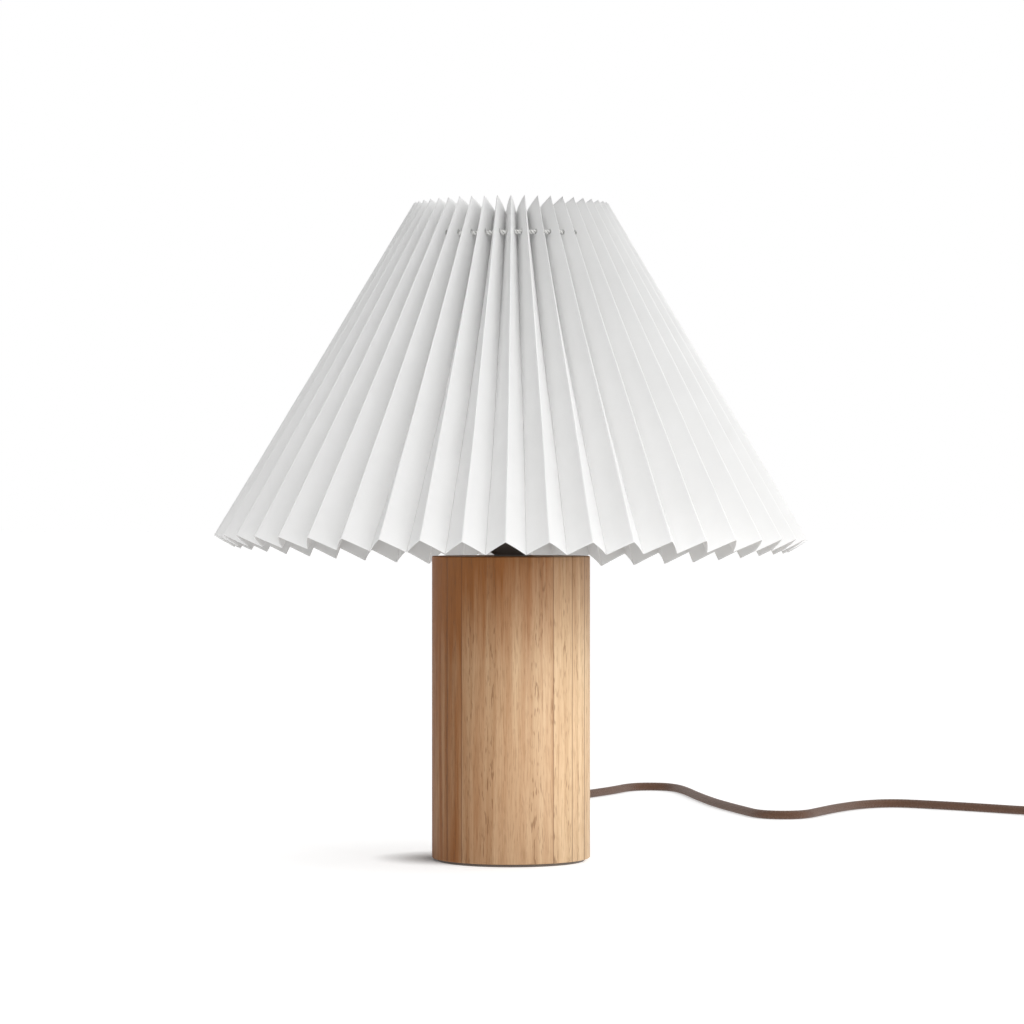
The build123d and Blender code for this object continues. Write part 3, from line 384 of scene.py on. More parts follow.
@dataclass(frozen=True)
class Moulded(Finish):
    """Moulded plastic or sprayed paint: a grained skin, a little dust, slow changes of tone."""

    base: Colour
    light: Colour
    roughness: float
    grain: float = 2200.0
    grain_depth: float = 0.03 * MM
    dust: float = 0.12
    dust_tone: Colour = (0.45, 0.43, 0.40)

    def look(self, graph: Graph) -> Feeds:
        """Grain, tone and dust.

        Args:
            graph: the material's tree.

        Returns:
            What feeds the shader.
        """
        skin = self.effect(graph, Effect.MOULD_GRAIN, Scale=self.grain).outputs
        dust = self.effect(graph, Effect.DUST, Amount=self.dust).outputs
        tone = graph.blend(skin["Tone"], self.base, self.light)
        low, high = self.roughness - 0.06, self.roughness + 0.08
        return {
            "Base Color": graph.blend(dust["Mask"], tone, self.dust_tone),
            "Roughness": graph.spread(skin["Tone"], low, high),
            "Normal": graph.bump(skin["Height"], self.grain_depth, 0.6),
        }


@dataclass(frozen=True)
class Metal(Finish):
    """Bare or plated metal, with fine marks from its making and dull patches."""

    base: Colour
    dull: Colour
    roughness: float
    marks: tuple[float, float, float] = (900.0, 900.0, 4000.0)
    mark_depth: float = 0.02 * MM

    def look(self, graph: Graph) -> Feeds:
        """Marks drawn out along one way, over slow patches.

        Args:
            graph: the material's tree.

        Returns:
            What feeds the shader.
        """
        where = graph.place()
        marks = graph.noise(graph.stretched(where, self.marks), 1.0, 3.0)
        patches = graph.ramp(graph.noise(where, 140.0, 4.0, 0.6), 0.35, 0.7)
        low, high = self.roughness - 0.07, self.roughness + 0.12
        return {
            "Base Color": graph.blend(patches, self.base, self.dull),
            "Metallic": 1.0,
            "Roughness": graph.spread(marks, low, high),
            "Normal": graph.bump(marks, self.mark_depth, 0.4),
        }


@dataclass(frozen=True)
class OpalGlass(Finish):
    """Glass with milky clouds under a glossy skin, white or clear."""

    base: Colour = (0.90, 0.90, 0.87)
    roughness: float = 0.18
    transmission: float = 0.0
    swirl: float = 0.04

    def look(self, graph: Graph) -> Feeds:
        """Clouds in the tone and in the gloss.

        Args:
            graph: the material's tree.

        Returns:
            What feeds the shader.
        """
        clouds = graph.noise(graph.place(), 70.0, 3.0)
        darker = tuple(part * (1 - self.swirl) for part in self.base)
        return {
            "Base Color": graph.blend(clouds, self.base, darker),
            "Roughness": graph.spread(clouds, self.roughness, self.roughness + 0.08),
            "Transmission Weight": self.transmission,
            "Coat Weight": 0.6,
            "Coat Roughness": 0.08,
        }


@dataclass(frozen=True)
class PleatedPaper(Finish):
    """Matt white paper that lets a little light into it, with the clouds and tooth of its fibres.

    The side that faces the lamp's axis is greyer than the side that faces out: a painted
    shade for the cone's inside. out_and_up is the way that the cone's outer side faces,
    and turnover how softly one side ends.
    """

    base: Colour = (0.87, 0.87, 0.865)
    shade: Colour = (0.84, 0.84, 0.835)
    # inner is a painted shade: the grey that the cone's inside is given in place of the paper's
    # white
    inner: Colour = (0.58, 0.58, 0.575)
    glow_through: float = 0.5
    out_and_up: tuple[float, float] = (0.86, 0.51)
    turnover: float = 0.06
    tooth: float = 0.04 * MM

    def inside(self, graph: Graph) -> Socket:
        """Mask of the faces that look towards the axis, or down, which take the painted shade.

        Args:
            graph: the material's tree.

        Returns:
            The mask of the painted shade, 1 inside the cone.
        """
        level = graph.vectors("MULTIPLY", graph.place(), (1, 1, 0))
        out, up = self.out_and_up
        leaning = graph.vectors("SCALE", graph.vectors("NORMALIZE", level), by=out)
        outward = graph.vectors("ADD", leaning, (0, 0, up))
        facing = graph.vectors("DOT_PRODUCT", graph.normal(), outward)
        return graph.ramp(facing, -self.turnover, self.turnover, 1.0, 0.0)

    def look(self, graph: Graph) -> Feeds:
        """Fibre clouds in the colour, painted shade on the inner side, fibre tooth in the bump.

        Args:
            graph: the material's tree.

        Returns:
            What feeds the shader.
        """
        fibres = self.effect(graph, Effect.FIBRES, Scale=700.0, Stretch=0.4).outputs
        outer = graph.blend(graph.spread(fibres["Tone"]), self.base, self.shade)
        return {
            # painted shade: the faces inside the cone take the greyer inner colour
            "Base Color": graph.blend(self.inside(graph), outer, self.inner),
            "Roughness": graph.spread(fibres["Height"], 0.82, 0.94),
            "Specular IOR Level": 0.25,
            "Subsurface Weight": self.glow_through,
            "Subsurface Radius": WHITE,
            "Subsurface Scale": MM,
            "Normal": graph.bump(fibres["Height"], self.tooth, 0.5),
        }


@dataclass(frozen=True)
class Oak(Finish):
    """Oiled oak, glued up from boards, its grain upright.

    joints are the glue lines' places along X, tones say how warm the board before each and
    after the last is, and pith is the line that the growth rings go round, behind the column.
    The stretches say how fine each pattern is along X, Y and Z, the warmths how far each
    pattern warms the wood, and the shows how strongly each mark shows. The wood is also
    made darker and warmer towards its left side, a painted shade, and towards its top, a
    painted shadow of the lampshade's rim; warm and ring_warm are the ends that these reach.
    """

    pale: Colour = (0.71, 0.53, 0.335)
    # warm is also the colour that the painted shade on the left side and the painted shadow at the
    # top reach
    warm: Colour = (0.29, 0.105, 0.025)
    ring_pale: Colour = (0.46, 0.29, 0.15)
    ring_warm: Colour = (0.20, 0.075, 0.020)
    pore: Colour = (0.18, 0.080, 0.030)
    line: Colour = (0.13, 0.052, 0.020)
    joints: tuple[float, ...] = (-0.0319, -0.0246, 0.0211, 0.0306, 0.0369)
    tones: tuple[float, ...] = (0.76, 0.94, 0.44, 0.16, 0.10, 0.20)
    line_widths: tuple[float, float] = (0.08 * MM, 0.42 * MM)
    # painted shade: the span along X over which the wood darkens and warms towards its left side
    painted_side_shade_span: tuple[float, float] = (-0.034, 0.030)
    # painted shadow: the heights over which the wood darkens towards its top, under the lampshade's
    # rim
    painted_shadow_heights: tuple[float, float] = (0.100, 0.152)
    pith: tuple[float, float] = (-0.004, 0.085)
    ring_width: float = 3.4 * MM
    ring_waver: float = 30.0 * MM
    waver_stretch: tuple[int, int, int] = (22, 22, 7)
    streak_stretch: tuple[int, int, int] = (260, 260, 9)
    fibre_stretch: tuple[int, int, int] = (1500, 1500, 80)
    pore_stretch: tuple[int, int, int] = (1400, 1400, 170)
    # painted shade: how strongly the left side is darkened
    painted_side_shade: float = 0.42
    board_warmth: float = 0.45
    streak_warmth: float = 0.30
    # painted shadow: how strongly the top is darkened
    painted_shadow_strength: float = 0.42
    ring_shows: float = 0.36
    fibre_shows: float = 0.65
    pore_shows: float = 0.60
    line_shows: float = 0.55
    relief: float = 0.10 * MM

    def boards(self, graph: Graph, x: Socket) -> tuple[Socket, Socket]:
        """Each board's tone, and the thin dark lines between boards.

        Args:
            graph: the material's tree.
            x: the place across the boards.

        Returns:
            The tone, from 0 to 1, and the lines' mask.
        """
        tone: Socket | float = self.tones[0]
        lines: Socket | float = 0.0
        for place, before, after in zip(self.joints, self.tones, self.tones[1:]):
            past = graph.math("GREATER_THAN", x, place)
            tone = graph.plus(tone, graph.times(past, after - before))
            away = graph.math("ABSOLUTE", graph.less(x, place))
            lines = graph.math("MAXIMUM", lines, graph.ramp(away, *self.line_widths, 1.0, 0.0))
        return tone, lines

    def late_wood(self, graph: Graph, grain: Socket, x: Socket, y: Socket, tone: Socket) -> Socket:
        """The dark end of each growth ring.

        Args:
            graph: the material's tree.
            grain: the place, moved apart from board to board.
            x: the place across the boards.
            y: the place from front to back.
            tone: the board's tone, which shifts its rings.

        Returns:
            The late wood's mask.
        """
        waver = graph.noise(graph.stretched(grain, self.waver_stretch), 1.0, 3.0)
        shift = graph.times(graph.less(waver, 0.5), self.ring_waver)
        across = graph.plus(graph.less(x, self.pith[0]), shift)
        behind = graph.less(y, self.pith[1])
        squared = graph.plus(graph.times(across, across), graph.times(behind, behind))
        rings = graph.over(graph.math("SQRT", squared), self.ring_width)
        late = graph.ramp(graph.math("FRACT", graph.plus(rings, tone)), 0.35, 1.0)
        return graph.math("POWER", late, 1.6)

    def look(self, graph: Graph) -> Feeds:
        """Growth rings, streaks, open pores and glue lines, over a painted shade on the left side
        and a painted shadow of the lampshade at the top.

        Args:
            graph: the material's tree.

        Returns:
            What feeds the shader.
        """
        x, y, z = graph.parts(graph.place())
        tone, lines = self.boards(graph, x)
        grain = graph.vector(graph.plus(x, tone), y, z)
        late = self.late_wood(graph, grain, x, y, tone)
        streaks = graph.noise(graph.stretched(grain, self.streak_stretch), 1.0, 4.0, 0.6)
        fibres = graph.noise(graph.stretched(grain, self.fibre_stretch), 1.0, 3.0, 0.6)
        pores = graph.noise(graph.stretched(grain, self.pore_stretch), 1.0, 1.0)
        pores = graph.times(graph.ramp(pores, 0.57, 0.68), graph.ramp(late, 0.05, 0.5, 0.35, 1.0))

        # painted shade: darker and warmer towards the left side, away from the light; board tones
        # and streaks are the wood's own
        warmth_and_painted_shade = graph.times(graph.ramp(x, *self.painted_side_shade_span, 1.0, 0.0), self.painted_side_shade)
        warmth_and_painted_shade = graph.plus(warmth_and_painted_shade, graph.times(tone, self.board_warmth))
        streaks = graph.times(graph.ramp(streaks, 0.34, 0.68), self.streak_warmth)
        warmth_and_painted_shade = graph.plus(warmth_and_painted_shade, streaks)
        # painted shadow: darker and warmer towards the top, where the lampshade's rim shades the
        # column
        warmth_and_painted_shade = graph.plus(warmth_and_painted_shade, graph.ramp(z, *self.painted_shadow_heights, 0.0, self.painted_shadow_strength))
        warmth_and_painted_shade = graph.math("MINIMUM", warmth_and_painted_shade, 1.0)
        body = graph.blend(warmth_and_painted_shade, self.pale, self.warm)
        ring = graph.blend(warmth_and_painted_shade, self.ring_pale, self.ring_warm)
        body = graph.blend(graph.times(late, self.ring_shows), body, ring)
        body = graph.blend(graph.ramp(fibres, 0.48, 0.76, 0.0, self.fibre_shows), body, ring)
        body = graph.blend(graph.times(pores, self.pore_shows), body, self.pore)
        body = graph.blend(graph.times(lines, self.line_shows), body, self.line)
        depth = graph.less(graph.times(fibres, 0.35), graph.plus(pores, lines))
        return {
            "Base Color": body,
            "Roughness": graph.spread(fibres, 0.50, 0.64),
            "Specular IOR Level": 0.28,
            "Normal": graph.bump(depth, self.relief, 0.55),
        }


@dataclass(frozen=True)
class Interlaced(Finish):
    """Braided or woven textile that follows the piece's UV map."""

    base: Colour = (0.085, 0.038, 0.020)
    thread: Colour = (0.165, 0.078, 0.042)
    across: float = 16.0
    along: float = 400.0
    depth: float = 0.22 * MM
    sheen: float = 0.25

    def look(self, graph: Graph) -> Feeds:
        """Threads lighter on their crowns, a painted shade in the hollows between them, each a
        little different.

        Args:
            graph: the material's tree.

        Returns:
            What feeds the shader.
        """
        threads = self.effect(graph, Effect.INTERLACE, Across=self.across, Along=self.along).outputs
        fibres = self.effect(graph, Effect.FIBRES, Scale=2600.0, Stretch=0.2).outputs
        # painted shade: each thread lighter on its crown and darker in the hollows, plus a real
        # tone for each crossing
        painted_crown_light = graph.times(threads["Height"], 0.75)
        crown_light_and_tone = graph.plus(painted_crown_light, graph.times(threads["Tone"], 0.25))
        height = graph.plus(threads["Height"], graph.times(fibres["Height"], 0.25))
        return {
            "Base Color": graph.blend(crown_light_and_tone, self.base, self.thread),
            "Roughness": graph.spread(fibres["Height"], 0.78, 0.95),
            "Sheen Weight": self.sheen,
            "Sheen Roughness": 0.5,
            "Normal": graph.bump(height, self.depth, 0.9),
        }


@dataclass(frozen=True)
class Felted(Finish):
    """Pressed felt or spun cotton: matted fibres with a soft sheen."""

    base: Colour = (0.10, 0.085, 0.075)
    light: Colour = (0.17, 0.15, 0.13)
    scale: float = 1500.0
    depth: float = 0.3 * MM

    def look(self, graph: Graph) -> Feeds:
        """Fibres in tone and bump.

        Args:
            graph: the material's tree.

        Returns:
            What feeds the shader.
        """
        fibres = self.effect(graph, Effect.FIBRES, Scale=self.scale, Stretch=0.8).outputs
        return {
            "Base Color": graph.blend(graph.spread(fibres["Height"]), self.base, self.light),
            "Roughness": graph.spread(fibres["Tone"], 0.88, 0.98),
            "Sheen Weight": 0.2,
            "Normal": graph.bump(fibres["Height"], self.depth, 0.7),
        }


OAK = Oak("oiled_oak", "oak")
PAPER = PleatedPaper("pleated_paper", "paper_white")
STRING = Felted(
    "spun_cotton", "string_white", (0.76, 0.76, 0.74), (0.86, 0.86, 0.84), 2400.0, 0.1 * MM)
FELT = Felted("pressed_felt", "felt")
BRAID = Interlaced("braided_cord", "cord_textile")
STRAP = Interlaced(
    "woven_strap", "tie_black", (0.035, 0.032, 0.03), (0.075, 0.07, 0.065),
    22.0, 900.0, 0.2 * MM, 0.15)
HOLDER = Moulded("black_holder", "holder_black", (0.20, 0.192, 0.184), (0.25, 0.24, 0.23), 0.45)
DARK_BROWN, LIGHTER_BROWN = (0.050, 0.026, 0.016), (0.062, 0.034, 0.021)

NODE_FINISHES: dict[Finish, tuple[str, ...]] = {
    OAK: ("wood_column",),
    HOLDER: ("holder_dome", "holder_sleeve", "clamp_ring"),
    BRAID: ("inner_cord",),
    Moulded("cord_sleeve", "black_relief", (0.035, 0.022, 0.015), (0.05, 0.032, 0.022), 0.55,
            1800.0):
        ("strain_relief",),
    Moulded("clamp_moulding", "clamp_plastic", (0.03, 0.03, 0.03), (0.04, 0.04, 0.04), 0.5):
        ("cord_clamp", "pin_sleeves"),
    Moulded("wire_skin", "wire_jacket", (0.10, 0.17, 0.36), (0.13, 0.20, 0.40), 0.35):
        ("inner_wires",),
    Moulded("porcelain", "holder_insert", (0.66, 0.64, 0.59), (0.72, 0.70, 0.66), 0.55,
            1200.0, 0.02 * MM, 0.1):
        ("holder_insert",),
    Moulded("powder_coat", "carrier_wire", (0.72, 0.72, 0.70), (0.76, 0.76, 0.74), 0.42, 1500.0):
        ("carrier_fitter", "carrier_arms", "carrier_hoop"),
    Moulded("dark_vitrite", "black_glass", (0.02, 0.02, 0.025), (0.03, 0.03, 0.035), 0.2,
            900.0, 0.02 * MM, 0.0):
        ("bulb_insulator",),
    Moulded("filament_coat", "filament", (0.80, 0.52, 0.10), (0.85, 0.60, 0.18), 0.5, 3000.0):
        ("bulb_filaments",),
    Moulded("brown_switch", "switch_brown", DARK_BROWN, LIGHTER_BROWN, 0.38):
        ("switch_lower", "switch_upper", "switch_rocker"),
    Moulded("brown_plug", "plug_brown", DARK_BROWN, LIGHTER_BROWN, 0.42): ("plug_body",),
    Metal("zinc_plate", "zinc_steel", (0.62, 0.62, 0.60), (0.50, 0.50, 0.49), 0.32):
        ("threaded_tube", "chamber_washer", "chamber_nut", "clamp_screws", "terminal_screws",
         "rocker_pin", "switch_screws"),
    Metal("stamped_brass", "brass", (0.78, 0.58, 0.26), (0.60, 0.42, 0.18), 0.30):
        ("terminals", "centre_contact", "switch_contacts"),
    Metal("rolled_brass", "shell_metal", (0.80, 0.64, 0.34), (0.62, 0.47, 0.24), 0.30):
        ("screw_shell",),
    Metal("rolled_aluminium", "cap_metal", (0.76, 0.76, 0.75), (0.62, 0.62, 0.61), 0.26):
        ("bulb_cap", "bulb_tip"),
    Metal("nickel_plate", "pin_metal", (0.80, 0.78, 0.74), (0.66, 0.64, 0.60), 0.20):
        ("plug_pins",),
    OpalGlass("opal_glass", "opal_glass"): ("bulb_glass",),
    OpalGlass("stem_glass", "stem_glass", (0.92, 0.94, 0.94), 0.06, 0.7, 0.02): ("bulb_stem",),
}


# ------------------------------------------------------------------ meshes


@dataclass
class Sheet:
    """A grid of points that becomes a mesh: rows of points, joined to their neighbours."""

    points: np.ndarray
    around: bool = False
    uv: np.ndarray | None = None
    ends: bool = False

    def faces(self) -> list[tuple[int, ...]]:
        """Quads between rows, closed round the short way if asked, with end caps if asked.

        Returns:
            Each face's points, by number.
        """
        rows, columns = self.points.shape[:2]
        made = []
        for start in range(0, (rows - 1) * columns, columns):
            for column in range(columns if self.around else columns - 1):
                here, after = start + column, start + (column + 1) % columns
                made.append((here, after, after + columns, here + columns))
        if self.ends:
            made.append(tuple(range(columns - 1, -1, -1)))
            made.append(tuple(range((rows - 1) * columns, rows * columns)))
        return made

    def mesh(self, name: str, finish: Finish) -> bpy.types.Object:
        """The grid as a smooth object at the origin.

        Args:
            name: the object's name.
            finish: its finish.

        Returns:
            The linked object.
        """
        data = bpy.data.meshes.new(name)
        faces = self.faces()
        data.from_pydata(self.points.reshape(-1, 3).tolist(), [], faces)
        if self.uv is not None:
            layer = data.uv_layers.new(name="UVMap")
            flat = self.uv.reshape(-1, 2)
            columns = self.points.shape[1]
            for face, polygon in zip(faces, data.polygons):
                seam = self.around and len(face) == 4 and face[0] % columns == columns - 1
                for corner, vertex in zip(polygon.loop_indices, face):
                    u, v = flat[vertex]
                    wraps = seam and vertex % columns == 0
                    layer.data[corner].uv = (u + 1.0 if wraps else u, v)
        data.materials.append(finish.material())
        data.polygons.foreach_set("use_smooth", [True] * len(data.polygons))
        data.update()
        return linked(name, data)


def spline_points(route: Sequence[Vector], steps: int, closed: bool = False) -> list[Vector]:
    """Points along a smooth curve that a route's points control.

    Args:
        route: the control points.
        steps: how finely each span is read.
        closed: whether the curve comes back to its start.

    Returns:
        Points in order along the curve.
    """
    data = bpy.data.curves.new("reading_line", "CURVE")
    data.dimensions = "3D"
    data.resolution_u = steps
    spline = data.splines.new("NURBS")
    spline.points.add(len(route) - 1)
    for point, place in zip(spline.points, route):
        point.co = (*place, 1.0)
    spline.use_cyclic_u = closed
    spline.order_u = 3
    spline.use_endpoint_u = not closed
    curve = linked("reading_line", data)
    graph = bpy.context.evaluated_depsgraph_get()
    read = bpy.data.meshes.new_from_object(curve.evaluated_get(graph))
    points = [vertex.co.copy() for vertex in read.vertices]
    bpy.data.objects.remove(curve)
    bpy.data.meshes.remove(read)
    return points


def run_length(line: Sequence[Vector]) -> float:
    """How long a line of points is."""
    return sum((after - here).length for here, after in zip(line, line[1:]))


def tube_sheet(points: Sequence[Vector], radius: float, sides: int, ends: bool = True) -> Sheet:
    """A round tube along points, its UV map once round and in metres along.

    Args:
        points: the centreline.
        radius: the tube's radius.
        sides: how many sides its section has.
        ends: whether its ends are closed.

    Returns:
        The tube's sheet.
    """
    line = np.array(points)
    way = np.gradient(line, axis=0)
    way /= np.linalg.norm(way, axis=1)[:, None]
    side = np.cross(way[0], (0.0, 0.0, 1.0))
    if np.linalg.norm(side) < 0.1:
        side = np.cross(way[0], (1.0, 0.0, 0.0))
    rings, uv = [], []
    turns = np.linspace(0, TURN, sides, endpoint=False)
    length = 0.0
    for i, (place, forward) in enumerate(zip(line, way)):
        side = side - forward * side.dot(forward)
        side /= np.linalg.norm(side)
        up = np.cross(forward, side)
        rings.append([place + radius * (math.cos(t) * side + math.sin(t) * up) for t in turns])
        length += float(np.linalg.norm(line[i] - line[i - 1])) if i else 0.0
        uv.append([(t / TURN, length) for t in turns])
    return Sheet(np.array(rings), around=True, uv=np.array(uv), ends=ends)


def turned_sheet(outline: Sequence[tuple[float, float]], sides: int) -> Sheet:
    """A shape turned about the lamp's axis.

    Args:
        outline: its (radius, height) points.
        sides: how many sides it has.

    Returns:
        The shape's sheet.
    """
    angles = np.linspace(0, TURN, sides, endpoint=False)
    rows = [[(r * math.cos(a), r * math.sin(a), z) for a in angles] for r, z in outline]
    return Sheet(np.array(rows), around=True)


def close_poles(made: bpy.types.Object) -> None:
    """Merge the doubled points of a shape's poles or seam, and face it outwards.

    Args:
        made: the shape's object.
    """
    mesh = bmesh.new()
    mesh.from_mesh(made.data)
    bmesh.ops.remove_doubles(mesh, verts=mesh.verts, dist=SAME_POINT)
    bmesh.ops.recalc_face_normals(mesh, faces=mesh.faces)
    mesh.to_mesh(made.data)
    mesh.free()


def joined(name: str, pieces: Sequence[bpy.types.Object]) -> bpy.types.Object:
    """Several mesh objects as one object, all at the origin.

    Args:
        name: the one object's name.
        pieces: the objects, of one finish.

    Returns:
        The one object.
    """
    mesh = bmesh.new()
    for piece in pieces:
        mesh.from_mesh(piece.data)
    first, *others = pieces
    mesh.to_mesh(first.data)
    mesh.free()
    for piece in others:
        bpy.data.objects.remove(piece)
    first.name = first.data.name = name
    return first


def make_plain(made: bpy.types.Object) -> None:
    """Turn an object's evaluated shape into its own plain mesh, with no modifier left.

    Args:
        made: the object, with its modifiers.
    """
    graph = bpy.context.evaluated_depsgraph_get()
    done = bpy.data.meshes.new_from_object(made.evaluated_get(graph))
    made.modifiers.clear()
    made.data = done


def enter(made: bpy.types.Object, body: str, finish: Finish, *nodes: str) -> None:
    """Hang a finished piece on its body's empty, and hide the construction pieces that it stands in
    for.

    Args:
        made: the piece.
        body: the body that it rides on.
        finish: not used.
        nodes: the construction pieces that it stands in for, if any.
    """
    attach(made, body)
    if nodes:
        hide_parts(*nodes)


class Rule:
    """A geometry tree with named inputs, run once on an object."""

    def __init__(self, name: str, inputs: dict[str, tuple[str, object]]) -> None:
        """Make the tree and its inputs.

        Args:
            name: the tree's name.
            inputs: each input's socket type and value, by name.
        """
        self.tree = bpy.data.node_groups.new(name, "GeometryNodeTree")
        self.tree.is_modifier = True
        self.values: dict[str, object] = {}
        new_socket = self.tree.interface.new_socket
        new_socket("Geometry", in_out="INPUT", socket_type="NodeSocketGeometry")
        for label, (kind, value) in inputs.items():
            made = new_socket(label, in_out="INPUT", socket_type=kind)
            self.values[made.identifier] = value
        new_socket("Geometry", in_out="OUTPUT", socket_type="NodeSocketGeometry")
        self.graph = Graph(self.tree)
        self.given = self.graph.add("NodeGroupInput")

    def input(self, label: str) -> Socket:
        """The named input as a socket."""
        return self.given.outputs[label]

    def finish(self, geometry: Socket, material: Socket) -> None:
        """End the tree: real geometry, then its material.

        Args:
            geometry: what the tree has made.
            material: the material's input.
        """
        real = self.graph.add("GeometryNodeRealizeInstances", {0: geometry})
        feeds = {"Geometry": real.outputs[0], "Material": material}
        painted = self.graph.add("GeometryNodeSetMaterial", feeds)
        self.graph.add("NodeGroupOutput", {0: painted.outputs[0]})

    def run(self, made: bpy.types.Object) -> None:
        """Put the tree on an object, each input set by its socket's identifier.

        Args:
            made: the object.
        """
        modifier = made.modifiers.new(self.tree.name, "NODES")
        modifier.node_group = self.tree
        for identifier, value in self.values.items():
            modifier[identifier] = value


# ------------------------------------------------------------------ sub-assemblies


@dataclass
class Column:
    """The oak column on its felt pad.

    outline holds, for each point of the pad's side, its share of the radius, how far it is
    inset and its share of the height, from the top's middle to the underside's.
    """

    body: str = "stand"
    sides: int = 96
    outline: tuple[tuple[float, float, float], ...] = (
        (0, 0, 1), (0.5, 0, 1), (1, 0.40 * MM, 1), (1, 0.15 * MM, 0.8), (1, 0, 0.5),
        (1, 0.15 * MM, 0.2), (1, 0.50 * MM, 0), (0.5, 0, 0), (0, 0, 0),
    )

    def build(self) -> list[bpy.types.Object]:
        """Make the felt pad. The turned wood keeps its own mesh.

        Returns:
            The pad.
        """
        low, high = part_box("felt_pad")
        radius, top = (high.x - low.x) / 2, high.z
        outline = [(radius * out - inset, top * up) for out, inset, up in self.outline]
        pad = turned_sheet(outline, self.sides).mesh("felt_disc", FELT)
        close_poles(pad)
        enter(pad, self.body, FELT, "felt_pad")
        return [pad]


@dataclass
class Lampholder:
    """The black holder: the thread on its sleeve, which the shade carrier's ring turns on.

    section holds the ridge's points, each a share of its height, how far that point is sunk
    into the sleeve and its place up the sleeve.
    """

    body: str = "stand"
    radius: float = 19.5 * MM
    pitch: float = 2.8 * MM
    ridge: float = 0.55 * MM
    over_the_ring: float = 1.2 * MM
    under_the_edge: float = 2.4 * MM
    steps_a_turn: int = 48
    section: tuple[tuple[float, float, float], ...] = (
        (0, 0.25 * MM, -0.90 * MM), (0.6, 0, -0.55 * MM), (1, 0, 0), (0.6, 0, 0.55 * MM),
        (0, 0.25 * MM, 0.90 * MM),
    )

    def build(self) -> list[bpy.types.Object]:
        """Wind the thread's rounded ridge up the sleeve, above the clamp ring.

        Returns:
            The thread.
        """
        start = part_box("clamp_ring")[1].z + self.over_the_ring
        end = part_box("holder_sleeve")[1].z - self.under_the_edge
        turns = (end - start) / self.pitch
        rows = []
        for i in range(round(turns * self.steps_a_turn) + 1):
            turn = i / self.steps_a_turn
            z = start + self.pitch * turn
            grown = self.ridge * min(1.0, 4 * turn, 4 * (turns - turn) + 0.02)
            across, along = math.cos(TURN * turn), math.sin(TURN * turn)
            row = []
            for share, sunk, up in self.section:
                reach = self.radius + share * grown - sunk
                row.append((reach * across, reach * along, z + up))
            rows.append(row)
        thread = Sheet(np.array(rows), around=True, ends=True).mesh("sleeve_thread", HOLDER)
        close_poles(thread)
        enter(thread, self.body, HOLDER)
        return [thread]


